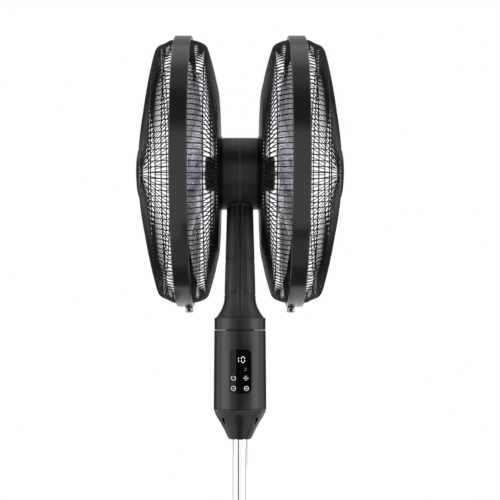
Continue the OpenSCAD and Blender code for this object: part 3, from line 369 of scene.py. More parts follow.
# The fifth symbol is off, so its faint light is a painted glow.
faint_painted_glow = lit_mark("faint_painted_glow", 0.02, (0.2, 0.2, 0.2))
finishes = dict(
    charcoal_plastic=charcoal, barrel_plastic=barrel_black, ring_plastic=ring_plastic,
    black_plastic=black_plastic, white_nylon=white_nylon, foot_rubber=foot_rubber,
    panel_gloss=panel_gloss, blade_plastic=blade_plastic, cage_wire=cage_wire, chrome_tube=chrome,
    zinc_steel=zinc_steel, motor_steel=motor_steel, weight_steel=weight_steel,
    copper_winding=copper_winding, circuit_board=circuit_board)
print("finishes", len(finishes))

# %% [markdown]
# ## A finish for every CAD node
# The record says which material slot each node has. Every node gets that finish first, so nothing is
# left grey, and the nodes that stay as they are need nothing more.

# %% Dress the CAD nodes
slot_of = {part["node"]: part["material_slot"] for part in frame["record"]["subparts"]}
for name, piece in nodes.items():
    piece.data.materials.clear()
    piece.data.materials.append(finishes[slot_of[name]])
print("dressed", len(nodes), "nodes")

# %% [markdown]
# ## From arrays to meshes
# A new surface is a grid of points from a formula. `grid_faces` joins a grid's points into quads, and
# `Surface` collects several grids as one mesh. A grid can wrap round in either direction, which closes
# tubes and rings, and its open ends are closed with one polygon each.


# %% Surfaces
def grid_faces(rows, columns, wrap_rows, wrap_columns):
    """Quads between neighbouring points of a rows by columns grid, as an array of indices."""
    i = np.arange(rows if wrap_rows else rows - 1)[:, None]
    j = np.arange(columns if wrap_columns else columns - 1)[None, :]
    i2, j2 = (i + 1) % rows, (j + 1) % columns
    corners = (i * columns + j, i2 * columns + j, i2 * columns + j2, i * columns + j2)
    return np.stack(np.broadcast_arrays(*corners)).reshape(4, -1).T


class Surface:
    """Collects grids of points, then makes one mesh of them with outward faces."""

    def __init__(self):
        self.points = []
        self.faces = []
        self.painted_shades = []
        self.count = 0

    def add(self, grids, wrap_rows=False, wrap_columns=True, caps=True, painted_shades=0.0):
        """grids has the shape (copies, rows, columns, 3). Every copy is joined in the same way."""
        copies, rows, columns, _ = grids.shape
        self.painted_shades.append(np.broadcast_to(painted_shades, grids.shape[:3]).ravel())
        shift = (self.count + np.arange(copies) * rows * columns)[:, None, None]
        quads = grid_faces(rows, columns, wrap_rows, wrap_columns)
        self.faces.append((quads[None] + shift).reshape(-1, 4))
        if caps and not wrap_rows:
            first = np.arange(columns)[None, None, :]
            self.faces.append((first + shift).reshape(-1, columns))
            self.faces.append((first + (rows - 1) * columns + shift).reshape(-1, columns))
        self.points.append(grids.reshape(-1, 3))
        self.count += copies * rows * columns
        return self

    def mesh(self, name, sharp):
        """Fills a mesh, merges doubled points and turns all faces outwards."""
        mesh = bpy.data.meshes.new(name)
        points = np.concatenate(self.points)
        loops = np.concatenate([f.ravel() for f in self.faces])
        sizes = np.concatenate([np.full(len(f), f.shape[1]) for f in self.faces])
        mesh.vertices.add(len(points))
        mesh.vertices.foreach_set("co", points.astype(np.float32).ravel())
        mesh.loops.add(len(loops))
        mesh.loops.foreach_set("vertex_index", loops.astype(np.int32))
        mesh.polygons.add(len(sizes))
        mesh.polygons.foreach_set("loop_start", (np.cumsum(sizes) - sizes).astype(np.int32))
        mesh.polygons.foreach_set("loop_total", sizes.astype(np.int32))
        mesh.update(calc_edges=True)
        painted_shades = np.concatenate(self.painted_shades)
        if painted_shades.any():
            stored = mesh.attributes.new("painted_shade", "FLOAT", "POINT")
            stored.data.foreach_set("value", painted_shades.astype(np.float32))
        tidy_mesh(mesh, sharp)
        return mesh


def tidy_mesh(mesh, sharp):
    """Merges doubled points, turns faces outwards, and shades smooth except at sharp edges."""
    work = bmesh.new()
    work.from_mesh(mesh)
    bmesh.ops.remove_doubles(work, verts=work.verts, dist=1e-6)
    bmesh.ops.dissolve_degenerate(work, edges=work.edges, dist=1e-7)
    bmesh.ops.recalc_face_normals(work, faces=work.faces)
    work.to_mesh(mesh)
    work.free()
    mesh.shade_smooth()
    mesh.set_sharp_from_angle(angle=sharp)


def put(name, shape, body, slot, finish=None, stands_for=(), sharp=math.radians(35)):
    """Adds a surface or a mesh as a piece: on its body, with its finish and the nodes it stands for."""
    mesh = shape.mesh(name, sharp) if isinstance(shape, Surface) else shape
    piece = bpy.data.objects.new(name, mesh)
    scene.collection.objects.link(piece)
    mesh.materials.append(finish or finishes[slot])
    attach(piece, body)
    if stands_for:
        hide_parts(*stands_for)
    print(f"{name}: {len(mesh.polygons)} faces")
    return piece


# %% [markdown]
# ## Profiles with soft corners
# A moulded edge is never sharp. `soft_profile` takes corners, each with its own radius, and replaces
# them with short arcs. A smooth curve through a few points, as on the cages, comes from
# `smooth_line`, a cubic through the points with slopes taken from their neighbours.


# %% Profiles
def soft_profile(corners, closed=True, steps=5):
    """Corners are (x, y, radius). Each becomes a quadratic arc between points that distance away."""
    data = np.array([(*c, 0.0)[:3] if len(c) == 2 else c for c in corners], float)
    place, radius = data[:, :2], data[:, 2]
    before, after = np.roll(place, 1, 0), np.roll(place, -1, 0)
    to_before, to_after = before - place, after - place
    length_before = np.linalg.norm(to_before, axis=1)
    length_after = np.linalg.norm(to_after, axis=1)
    reach = np.minimum(radius, 0.48 * np.minimum(length_before, length_after))
    if not closed:
        reach[[0, -1]] = 0
    start = place + to_before / np.maximum(length_before, 1e-9)[:, None] * reach[:, None]
    end = place + to_after / np.maximum(length_after, 1e-9)[:, None] * reach[:, None]
    t = np.linspace(0, 1, steps + 1)[None, :, None]
    arcs = (1 - t) ** 2 * start[:, None] + 2 * t * (1 - t) * place[:, None] + t**2 * end[:, None]
    keep = np.where(reach > 0, steps + 1, 1)
    return np.concatenate([arc[:k] for arc, k in zip(arcs, keep)])


def smooth_line(points, count):
    """A cubic through the points, resampled at equal steps along its length."""
    points = np.array(points, float)
    gaps = np.linalg.norm(np.diff(points, axis=0), axis=1)
    along = np.concatenate([[0], np.cumsum(gaps)])
    slopes = np.gradient(points, along, axis=0)
    where = np.linspace(0, along[-1], count * 8)
    k = np.clip(np.searchsorted(along, where, side="right") - 1, 0, len(gaps) - 1)
    h = gaps[k][:, None]
    t = (where - along[k])[:, None] / h
    curve = ((2 * t**3 - 3 * t**2 + 1) * points[k] + (t**3 - 2 * t**2 + t) * h * slopes[k]
             + (3 * t**2 - 2 * t**3) * points[k + 1] + (t**3 - t**2) * h * slopes[k + 1])
    steps = np.concatenate([[0], np.cumsum(np.linalg.norm(np.diff(curve, axis=0), axis=1))])
    even = np.linspace(0, steps[-1], count)
    return np.stack([np.interp(even, steps, curve[:, i]) for i in range(2)], axis=1)


def line_normals(line):
    """Unit normals of a line in its plane, on its right-hand side."""
    slope = np.gradient(line, axis=0)
    slope /= np.linalg.norm(slope, axis=1, keepdims=True)
    return np.stack([slope[:, 1], -slope[:, 0]], axis=1)


# %% [markdown]
# ## Two frames of reference
# A fan head turns about a level axis, so its surfaces are written as distance outwards, radius and
# turn. The column's surfaces turn about the upright axis. `head_place` and `column_place` carry those
# numbers to the object's own frame, for whole arrays at once.


# %% Places
def full_turn(steps):
    """Angles once round, without the last one, which is the first again."""
    return np.linspace(0, 2 * math.pi, steps, endpoint=False)


def head_place(side, out, radius, turn):
    """out metres from the fan's middle, at a radius and a turn from straight up about the head axis."""
    out, radius, turn = np.broadcast_arrays(out, radius, turn)
    return np.stack([side * out, radius * np.sin(turn), head_z + radius * np.cos(turn)], axis=-1)


def column_place(radius, turn, height):
    """A radius and a turn about the upright axis at a height; turn 0 faces the front."""
    radius, turn, height = np.broadcast_arrays(radius, turn, height)
    return np.stack([radius * np.sin(turn), -radius * np.cos(turn), height], axis=-1)


def head_revolve(side, profile, steps=192):
    """A closed profile of (out, radius) carried round the head axis."""
    turns = full_turn(steps)
    return head_place(side, profile[None, :, 0], profile[None, :, 1], turns[:, None])[None]


def column_revolve(profile, steps=192):
    """A closed profile of (radius, height) carried round the upright axis."""
    turns = full_turn(steps)
    return column_place(profile[None, :, 0], turns[:, None], profile[None, :, 1])[None]


def solid_revolve(grids):
    return Surface().add(grids, wrap_rows=True, wrap_columns=True)


# %% [markdown]
# ## Cages
# Each cage is bent wire: about a hundred and fifty round wires run from the rim to the hub, and a few
# ring wires tie them from the inside. In the photo they make the fan's soft dark veil, so the full
# number is made here, as tubes around one shared line. A tube's thickness is read from a short table by
# its radius, so that the veil has the photo's density from the rim to the middle. Only every second
# front wire runs on under the cap, because there is no room for all of them, and the others end on the
# innermost ring.


# %% Cage lines and wires
wire_count = 154
wire_sides = 5
ring_wire_r = 0.85 * MM
rim_wire_r = 3.2 * MM
rim_r = ring_r - 6.0 * MM
rim_off = 3.35 * MM
front_outline = np.array([
    (88.35, 202), (106.8, 200.5), (110, 198.5), (115.9, 196), (122.6, 193), (126, 189), (127.6, 184),
    (129.4, 178), (132.6, 166), (136.5, 150), (140.8, 130), (144.8, 110), (148.8, 90), (153, 65),
    (156.1, 40), (157.6, 28), (159.2, 12)]) * MM
rear_outline = np.array([
    (81.65, 202), (64.5, 200.2), (60, 198.5), (54.5, 196), (50.3, 192.3), (48, 187), (45.8, 180),
    (42.9, 170), (38.9, 155), (35.6, 140), (32.3, 125), (30.6, 105), (29.6, 80), (29.4, 54)]) * MM
front_ring_radii = np.array([197, 189, 176, 112]) * MM
rear_ring_radii = np.array([190, 155, 131, 100, 74]) * MM
front_thickness = np.array([
    (12, 0.5), (22, 0.85), (60, 1.0), (110, 0.85), (150, 0.7), (175, 0.85), (190, 0.8)]) * MM
rear_thickness = np.array([(56, 1.2), (100, 1.1), (172, 1.05), (190, 0.85)]) * MM
print("wires in a cage", wire_count)


def front_wire_r(radius):
    """The front wires' thickness, by radius: finest under the cap, where they crowd together."""
    return np.interp(radius, *front_thickness.T)


def rear_wire_r(radius):
    """The rear wires' thickness, by radius: stoutest at the hub plate, which they carry."""
    return np.interp(radius, *rear_thickness.T)


def wires(side, outline, inward, turns, count, thickness, end=None):
    """Round tubes under the outline: each turn gives one tube whose centre lies a wire radius inwards."""
    line = smooth_line(outline, count)
    if end is not None:
        line = line[line[:, 1] >= end]
    normal = inward * line_normals(line)
    wire = thickness(line[:, 1])[:, None]
    centre = line + normal * wire
    angle = full_turn(wire_sides)
    out = centre[:, None, 0] + wire * np.cos(angle) * normal[:, None, 0]
    radius = centre[:, None, 1] + wire * np.cos(angle) * normal[:, None, 1]
    across = wire * np.sin(angle)
    turns = turns[:, None, None]
    grids = head_place(side, out[None], radius[None], turns)
    grids[..., 1] += across[None] * np.cos(turns)
    grids[..., 2] -= across[None] * np.sin(turns)
    return grids


def ring_wires(side, outs, radii, wire, steps=180, sides=8):
    """Closed round rings about the head axis, one for each pair of out and radius."""
    angle = full_turn(sides)[None, None, :]
    turns = full_turn(steps)[None, :, None]
    out = np.asarray(outs)[:, None, None] + wire * np.cos(angle)
    radius = np.asarray(radii)[:, None, None] + wire * np.sin(angle)
    return head_place(side, out, radius, turns)


def ring_seats(outline, inward, radii, thickness):
    """Where a ring of each radius lies when it is welded to the inside of the wires."""
    line = smooth_line(outline, 400)
    inner = line + inward * line_normals(line) * (2 * thickness(line[:, 1]) + ring_wire_r * 0.8)[:, None]
    order = np.argsort(inner[:, 1])
    return np.interp(radii, inner[order, 1], inner[order, 0])


def add_rings(cage, side, outline, inward, radii, thickness):
    """Adds the thin ring wires on the inside of a cage's wires, and its stout rim."""
    seats = ring_seats(outline, inward, radii, thickness)
    cage.add(ring_wires(side, seats, radii, ring_wire_r), wrap_rows=True)
    rim = ring_wires(side, [ring_mid + inward * rim_off], [rim_r], rim_wire_r, 240, 12)
    cage.add(rim, wrap_rows=True)


# %% [markdown]
# ## Middle of each cage
# In front, a thin domed cap closes the middle over the ends of the wires. Behind, a low collar in the
# barrel's black sits on the plate that carries the rear wires. Both are turned shapes: the cap is one
# curve and the same curve 1.5 mm deeper, and the collar is a small rounded rectangle.


# %% Collar and cap
plate_back, plate_front = barrel_half, barrel_half + 2 * MM
collar_foot, collar_top = plate_front - 0.6 * MM, plate_front + 4 * MM
collar_in = barrel_r - 3 * MM
cap_wall = 1.5 * MM
cap_curve = np.array([(5.2, 38), (4, 36.6), (2.6, 30), (1.5, 20.1), (0.6, 9.9), (0, 0.2)])


def cage_collar(side):
    """The dark step at the end of the barrel: a low ring on the rear cage's plate."""
    return solid_revolve(head_revolve(side, soft_profile([
        (collar_foot, collar_in, 0.0003), (collar_foot, barrel_r, 0.0003),
        (collar_top, barrel_r, 0.0012), (collar_top, collar_in, 0.0006)])))


def cap_dome(side):
    """The front cap: its curve, and back along the same curve a wall's thickness deeper."""
    dome = cap_curve * (-MM, MM) + (cap_front, 0)
    return solid_revolve(head_revolve(side, np.concatenate([dome, (dome - (cap_wall, 0))[::-1]])))


# %% Build the cages
turns_all = np.arange(wire_count) * 2 * math.pi / wire_count
inner_end = front_ring_radii[-1] - 2 * MM
disc_back, disc_front = cap_front - 5 * MM, cap_front - 3 * MM
disc_bore, disc_r = 2 * MM, 13 * MM
hub_plate_in, hub_plate_out = 27.3 * MM, 58 * MM
for label, side in SIDES:
    cage = Surface()
    cage.add(wires(side, front_outline, 1, turns_all[::2], 60, front_wire_r))
    cage.add(wires(side, front_outline, 1, turns_all[1::2], 60, front_wire_r, inner_end))
    add_rings(cage, side, front_outline, 1, front_ring_radii, front_wire_r)
    disc = soft_profile([(disc_back, disc_bore, 0.0003), (disc_front, disc_bore, 0.0003),
                         (disc_front, disc_r, 0.0006), (disc_back, disc_r, 0.0006)])
    cage.add(head_revolve(side, disc, 96), wrap_rows=True)
    put(f"{label}_front_cage", cage, "head", "cage_wire", stands_for=(f"{label}_front_grille",))
    cage = Surface()
    cage.add(wires(side, rear_outline, -1, turns_all, 50, rear_wire_r))
    add_rings(cage, side, rear_outline, -1, rear_ring_radii, rear_wire_r)
    plate = soft_profile([(plate_back, hub_plate_in, 0.0003), (plate_front, hub_plate_in, 0.0003),
                          (plate_front, hub_plate_out, 0.0008), (plate_back, hub_plate_out, 0.0003)])
    cage.add(head_revolve(side, plate), wrap_rows=True)
    put(f"{label}_rear_cage", cage, "head", "cage_wire", stands_for=(f"{label}_rear_grille",))
    put(f"{label}_cage_collar", cage_collar(side), "head", "cage_wire", barrel_black)
    put(f"{label}_cap_dome", cap_dome(side), "head", "black_plastic", stands_for=(f"{label}_front_cap",))

# %% [markdown]
# ## Guard rings
# A flexible moulded band closes over the two rims and is drawn together under the fan by a screw. Its
# section is a shallow channel with rounded edges, carried nearly all the way round; the two ends stand
# a few millimetres apart, and each has a lug for the screw.

# %% Guard ring
split_gap = 4 * MM
lug_wall = 6 * MM
lug_half = 5.5 * MM
lug_mid = ring_mid - lug_half
lug_top = head_z - ring_r + 2.4 * MM
screw_drop = ring_r + 4.6 * MM
band_wall = 2 * MM
bevel = 1.2 * MM


def ring_section():
    """Channel section of the band as (out, radius), with bevelled outer edges."""
    lip, inside = rim_r + 1 * MM, ring_r - 2.6 * MM
    return soft_profile([
        (ring_back, lip, 0.0005), (ring_back, ring_r - bevel, 0.0006), (ring_back + bevel, ring_r, 0.0007),
        (ring_front - bevel, ring_r, 0.0007), (ring_front, ring_r - bevel, 0.0006),
        (ring_front, lip, 0.0005), (ring_front - band_wall, lip, 0.0004),
        (ring_front - band_wall, inside, 0.0006), (ring_back + band_wall, inside, 0.0006),
        (ring_back + band_wall, lip, 0.0004)])


def soft_block(low, high, radius, steps=12):
    """A box with rounded edges: each grid point of a superellipsoid is pushed to the box's size."""
    u = np.linspace(-math.pi / 2, math.pi / 2, 2 * steps + 1)[:, None]
    v = full_turn(8 * steps)[None, :]
    unit = np.stack(np.broadcast_arrays(np.cos(u) * np.cos(v), np.cos(u) * np.sin(v), np.sin(u)), axis=-1)
    low, high = np.array(low, float), np.array(high, float)
    half = (high - low) / 2
    reach = np.clip(unit * 4, -1, 1) * np.maximum(half - radius, 0)
    return (low + high) / 2 + reach + unit * np.minimum(radius, half)


half_gap = split_gap / 2 / ring_r
sweep = math.pi + np.linspace(half_gap, 2 * math.pi - half_gap, 260)
section = ring_section()
for label, side in SIDES:
    band = Surface()
    band.add(head_place(side, section[None, :, 0], section[None, :, 1], sweep[:, None])[None])
    outs = sorted((side * (lug_mid - lug_half), side * (lug_mid + lug_half)))
    for way in (-1, 1):
        near, far = sorted((way * split_gap / 2, way * (split_gap / 2 + lug_wall)))
        lug = soft_block((outs[0], near, ring_low.z), (outs[1], far, lug_top), 0.9 * MM)
        band.add(lug[None], caps=False)
    put(f"{label}_band", band, "head", "ring_plastic", stands_for=(f"{label}_guard_ring",))

# %% [markdown]
# ## Screws with a cross recess
# The clamp screw's head faces the viewer. It is a low dome, and the cross is pressed into it, so the
# head is a polar grid whose height drops where a point lies near one of two crossed lines. The same
# points get a painted shade of 1, which the metal's finish turns dark in the recess.


# %% Clamp screws
def cross_head(radius, dome, rim, rings=26, steps=96):
    """Points of a pan head, and a painted shade of 1 in its cross: height falls with radius, and drops in a
    cross in the middle.
    """
    share = np.linspace(0, 1, rings)[:, None]
    turn = full_turn(steps)[None, :]
    x, y = share * radius * np.cos(turn), share * radius * np.sin(turn)
    arm = np.minimum(np.abs(x), np.abs(y)) < radius * 0.2
    reach = np.maximum(np.abs(x), np.abs(y)) < radius * 0.72
    height = rim + dome * (1 - share**3) - np.where(arm & reach, dome * 1.9, 0) + 0 * turn
    return np.stack([x, y, height], axis=-1), (arm & reach) * 1.0


def along_y(points, place):
    """Turns a piece drawn along +Z so that it faces the front, -Y, and puts it at a place."""
    return np.stack([points[..., 0], -points[..., 2], points[..., 1]], axis=-1) + np.array(place)


def bolt_rod(radius, start, end, sides=32):
    """A round rod along Z from start to end, as a grid of two rings."""
    turn = full_turn(sides)[None, :]
    height = np.array([start, end])[:, None]
    return np.stack(np.broadcast_arrays(radius * np.cos(turn), radius * np.sin(turn), height), axis=-1)


face = split_gap / 2 + lug_wall
head_rim = 1.8 * MM
# The cross recess gets painted shade, which the finish turns dark.
top, recess_shade = cross_head(4.9 * MM, 1.1 * MM, face + head_rim)
wall = top[-1:] * (1, 1, 0) + (0, 0, face)
for label, side in SIDES:
    place = (side * lug_mid, 0, head_z - screw_drop)
    screw = Surface()
    screw.add(along_y(np.concatenate([top, wall]), place)[None],
              painted_shades=np.concatenate([recess_shade, recess_shade[-1:]])[None])
    screw.add(along_y(bolt_rod(2 * MM, -face - 5 * MM, face), place)[None])
    screw.add(along_y(bolt_rod(4 * MM, -face - 3.2 * MM, -face, 6), place)[None])
    put(f"{label}_band_screw", screw, "head", "zinc_steel", stands_for=(f"{label}_clamp_screw",))

# %% [markdown]
# ## Blades
# A blade is a thin twisted sheet. Two parameters describe it: t runs from the hub to the tip, and an
# angle runs once round the blade's section, which makes the rounded leading and trailing edges. The
# formula is the frame's own: the blade sweeps forward, its chord swells and then narrows at the tip,
# and it rises from the trailing to the leading edge.

# %% Rotor
hub_back, hub_front = 57 * MM, 93 * MM
hub_r, tip_r = 34 * MM, 176 * MM
blade_count = 5
tip_start, tip_part = 0.94, 0.06
root_depth = 2 * MM
hub_wall = 2.4 * MM
boss_r, shaft_r = 8 * MM, 4.1 * MM


def blade_sheet(t_steps=44, round_steps=56):
    """Closed sections from hub to tip: chord along cos, thickness along sin, shrunk at the tip."""
    tip_rows = 1 - tip_part * np.linspace(1, 0, 12)[1:] ** 2
    t = np.concatenate([np.linspace(0, tip_start, t_steps), tip_rows])[:, None]
    around = full_turn(round_steps)[None, :]
    across = np.cos(around)
    radius = hub_r - root_depth + (tip_r - hub_r + root_depth) * t
    sweep = np.radians(12 * t + 16 * t**2)
    swell = np.sin(np.pi * t**0.8)
    tip_round = np.sqrt(np.clip(1 - ((t - tip_start) / tip_part).clip(0) ** 2, 0.0004, 1))
    half = np.radians(24 + 2.5 * swell) * (1 - 0.42 * t**6) * (0.8 + 0.2 * tip_round)
    rise = (13.5 - 3 * t) * (1 - 0.25 * t**5) * MM
    middle = hub_back + (hub_front - hub_back) / 2 - 1.5 * MM - 2 * MM * t
    thick = (2.6 - 1.4 * t) / 2 * MM * np.sin(around) * tip_round
    out = middle + rise * across + 3.2 * MM * (1 - across**2) + thick
    turn = sweep + half * across
    # Painted shade: a share of 1 along the leading and trailing edges and across the tip.
    rim = np.maximum(np.abs(across) ** 50, np.clip((t - 0.985) / 0.015, 0, 1)) * np.ones_like(turn)
    return out, radius, turn, rim


def blades(side):
    """Copies of one sheet, a fifth of a turn apart, and the painted shade along their rims."""
    out, radius, turn, rim = blade_sheet()
    start = (math.pi + np.arange(blade_count) * 2 * math.pi / blade_count)[:, None, None]
    return head_place(side, out[None], radius[None], start - turn[None]), rim[None]


def hub_cup():
    """Section of the hub as (out, radius): a cup with a rounded front and a boss on the shaft."""
    front, boss_back = hub_front, hub_back + 3 * MM
    return soft_profile([
        (hub_back, hub_r - hub_wall, 0.0004), (hub_back, hub_r, 0.0006), (front - 7 * MM, hub_r, 0.004),
        (front - 1.6 * MM, hub_r - 5 * MM, 0.005), (front, hub_r - 10 * MM, 0.004),
        (front, shaft_r, 0.0003), (boss_back, shaft_r, 0.0003), (boss_back, boss_r, 0.0006),
        (front - hub_wall, boss_r, 0.001), (front - hub_wall, hub_r - 11 * MM, 0.003),
        (front - 9 * MM, hub_r - hub_wall, 0.004)])


def spinner_grid(side, steps=160, rings=40):
    """A domed nut with eight finger scallops: the radius dips where the angle meets a scallop."""
    share = np.linspace(0, 1, rings)[:, None]
    turn = full_turn(steps)[None, :]
    height = 18 * MM * np.sin(share * math.pi / 2) ** 0.75
    radius = 17 * MM * np.clip(1 - share**3.2, 0, 1) ** 0.5
    scallop = np.clip(np.cos(8 * turn), 0, 1) ** 6 * np.clip(height / (4 * MM) - 1, 0, 1)
    radius = radius * (1 - 0.12 * scallop)
    return head_place(side, hub_front + height, radius, turn)[None]


for label, side in SIDES:
    body = f"{label}_rotor"
    rotor = Surface()
    sheets, rims = blades(side)
    rotor.add(sheets, painted_shades=rims)
    rotor.add(head_revolve(side, hub_cup()), wrap_rows=True)
    put(f"{label}_blades", rotor, body, "blade_plastic", None, (f"{label}_fan_blades",), math.radians(50))
    nut = Surface().add(spinner_grid(side))
    put(f"{label}_spinner_nut", nut, body, "blade_plastic", None, (f"{label}_spinner",), math.radians(50))

# %% [markdown]
# ## Barrel
# Two cups meet at a fine upright seam between the heads. The section has a small chamfer at the seam
# and rounded outer edges, so that the light draws both.

# %% Barrel halves
barrel_wall = 2.6 * MM
barrel_bore = 8.05 * MM
seam_half, seam_bevel = 0.02 * MM, 0.08 * MM
end_out, end_in = barrel_half - 0.2 * MM, barrel_half - 3 * MM
for label, side in SIDES:
    shell = soft_profile([
        (seam_half, barrel_r - barrel_wall, 0.0003), (seam_half, barrel_r - seam_bevel, 0.00003),
        (seam_half + seam_bevel, barrel_r, 0.00003), (end_out, barrel_r, 0.0016),
        (end_out, barrel_bore, 0.0003), (end_in, barrel_bore, 0.0003),
        (end_in, barrel_r - barrel_wall, 0.002)])
    cup = solid_revolve(head_revolve(side, shell, 256))
    put(f"{label}_barrel_cup", cup, "head", "barrel_plastic", stands_for=(f"{label}_barrel_half",))

# %% [markdown]
# ## Neck
# The neck is a loft of rounded sections: nearly straight above, and flared onto the swivel collar. A
# flute with a crease on each side runs down its front and back, and two pairs of curved part lines
# cross the side panels. All of it is one function of the height and the turn round the section, and
# the rows of the grid crowd together where the part lines lie. The same function gives each point a
# share of painted shade that darkens its grooves. A fine bead with a painted paler highlight follows
# the neck's top edge.

# %% Neck sizes
neck_height = head_z - neck_foot_z
flare_height = 30 * MM
neck_cut = neck_height - barrel_r * 0.72
half_width_top, half_width_low = 20.1 * MM, 24.5 * MM
half_depth_top, half_depth_low = 26 * MM, 31 * MM
flare_r = 37.6 * MM
flute_depth = 2.8 * MM
flute_widths = np.array([(0, 7.6), (68, 5.4), (114, 3.9), (150, 3.3), (190, 3.1)]) * MM
crease_w, crease_depth = 0.85 * MM, 1.2 * MM
middle_w, middle_depth = 0.7 * MM, 0.6 * MM
line_w, line_depth = 0.65 * MM, 1.0 * MM
part_lines = ((neck_height - 137 * MM, 13 * MM), (neck_height - 189.5 * MM, 10 * MM))
bead_r = 0.85 * MM
bead_drop = 0.3 * MM
print(f"neck {neck_height:.4f} high")


def mix(first, second, share):
    """A value between two, by a share from 0 to 1."""
    return first + (second - first) * share


def flute_half_width(height):
    """The flute narrows upwards, fast at first; its half width is read at five heights."""
    return np.interp(height, *flute_widths.T)


def neck_section(turn, height):
    """Half width and depth blend from flare to top; a power of cosine and sine squares the round."""
    flare = (1 - np.clip(height / flare_height, 0, 1)) ** 1.8
    share = np.clip((height - flare_height) / (neck_cut - flare_height), 0, 1)
    half_x = mix(mix(half_width_low, half_width_top, share), flare_r, flare)
    half_y = mix(mix(half_depth_low, half_depth_top, share), flare_r, flare)
    power = mix(mix(0.78, 0.96, share), 1.0, flare)
    x = half_x * np.sign(np.cos(turn)) * np.abs(np.cos(turn)) ** power
    y = half_y * np.sign(np.sin(turn)) * np.abs(np.sin(turn)) ** power
    return x, y, half_x


def neck_relief(x, height, half_x):
    """Depth pressed in at a point: the flute, its two creases and the curved part lines, and their painted
    shade.
    """
    flute = flute_half_width(height)
    v_shape = np.clip(1 - np.abs(x) / flute, 0, 1) * flute_depth
    crease = np.exp(-(((np.abs(x) - flute) / crease_w) ** 2))
    middle = np.exp(-((x / middle_w) ** 2))
    lines = 0
    for foot, climb in part_lines:
        bend = np.clip((half_x * 0.97 - np.abs(x)) / (half_x * 0.97 - flute), 0, 1)
        curve = foot + climb * (1 - np.sqrt(np.clip(1 - bend**2, 0, 1)))
        slant = climb / (half_x - flute) * bend / np.sqrt(np.clip(1 - bend**2, 0.05, 1))
        gap = (height - curve) / np.sqrt(1 + slant**2)
        lines = lines + np.exp(-((gap / line_w) ** 2)) * (np.abs(x) > flute)
    # Painted shade: darker in the creases, the flute's middle line and the part lines.
    painted_shades = np.clip(0.75 * crease + 0.9 * middle + 0.9 * lines, 0, 1)
    return v_shape + crease_depth * crease + middle_depth * middle, line_depth * lines, painted_shades


# %% Build the neck
def neck_rows():
    """Heights from foot to top, with steps of a third of a millimetre around each part line."""
    base = np.arange(0, 1.0001, 1 / 64) * neck_height
    dense = [np.arange(foot - 2 * MM, foot + climb + 1.5 * MM, 0.33 * MM) for foot, climb in part_lines]
    return np.unique(np.round(np.concatenate([base, *dense]), 6))


def neck_grid():
    """Points and painted shade of the neck: columns crowd towards front and back, rows end under the
    barrel.
    """
    rows = neck_rows()
    quarter = np.linspace(0, 1, 84, endpoint=False)
    late, early = 1 - (1 - quarter) ** 1.5, quarter**1.5
    turn = (np.concatenate([late, early + 1, late + 2, early + 3]) * math.pi / 2)[None, :]
    _, y_top, _ = neck_section(turn, neck_cut)
    seat = neck_height - np.sqrt(np.clip((barrel_r + 0.1 * MM) ** 2 - y_top**2, 0, None))
    height = np.minimum(rows[:, None], seat)
    x, y, half_x = neck_section(turn, height)
    flute, lines, painted_shades = neck_relief(x, height, half_x)
    side_share = np.abs(np.cos(turn)) ** 2
    y = y - np.sign(y) * (flute + lines * (1 - side_share))
    x = x - np.sign(x) * lines * side_share
    return np.stack([x, y, neck_foot_z + height], axis=-1), painted_shades


def neck_lip(rim):
    """A fine bead that follows the neck's top edge, where the neck meets the barrel."""
    angle = full_turn(8)[None, :, None]
    outward = rim * (1, 1, 0)
    outward /= np.linalg.norm(outward, axis=1, keepdims=True)
    section = np.cos(angle) * outward[:, None] + np.sin(angle) * np.array((0, 0, 1))
    return (rim[:, None] + bead_r * section)[None]


skin, groove_shade = neck_grid()
neck_skin = Surface().add(skin[None], painted_shades=groove_shade[None])
put("neck_shell", neck_skin, "head", "charcoal_plastic", neck_plastic, ("neck",), math.radians(60))
bead = Surface().add(neck_lip(skin[-1] - (0, 0, bead_drop)), wrap_rows=True)
# The bead's paler grey is a painted highlight.
put("neck_bead", bead, "head", "charcoal_plastic", bead_highlight_paint)

# %% [markdown]
# ## CAD pieces that keep their shape
# The swivel collar, the housing with its window, the cone and the stand are right as they are. Each
# gets a merged copy that shades smoothly across its curves and stays crisp at its edges.


# %% Smooth copies
def read(items, attribute, width=1, kind=float):
    """Reads one attribute of every item into an array, with a row for each item if it is a vector."""
    values = np.empty(len(items) * width, kind)
    items.foreach_get(attribute, values)
    return values.reshape(-1, width) if width > 1 else values


def round_normals(mesh):
    """Where a face lies on a round wall about the upright axis, its corners point straight outwards."""
    place = read(mesh.vertices, "co", 3)[read(mesh.loops, "vertex_index", kind=int)]
    face = np.repeat(read(mesh.polygons, "normal", 3), read(mesh.polygons, "loop_total", kind=int), axis=0)
    corner = read(mesh.corner_normals, "vector", 3)
    ray = place[:, :2] / np.maximum(np.linalg.norm(place[:, :2], axis=1, keepdims=True), 1e-9)
    level = np.linalg.norm(face[:, :2], axis=1)
    facing = (face[:, :2] * ray).sum(1) / np.maximum(level, 1e-9)
    wall = (level > 0.3) & (np.abs(facing) > 0.985) & (np.linalg.norm(place[:, :2], axis=1) > 5 * MM)
    exact = np.column_stack([ray * (level * np.sign(facing))[:, None], face[:, 2]])
    mesh.normals_split_custom_set(np.where(wall[:, None], exact, corner).tolist())


def smooth_copy(name, sharp=math.radians(28), upright=True):
    """A copy of a CAD node's mesh with its points merged, which stands for the node."""
    source = nodes[name]
    mesh = source.data.copy()
    mesh.name = f"{name}_skin"
    tidy_mesh(mesh, sharp)
    if upright:
        round_normals(mesh)
    mesh.materials.clear()
    return put(f"{name}_skin", mesh, source["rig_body"], slot_of[name], stands_for=(name,))


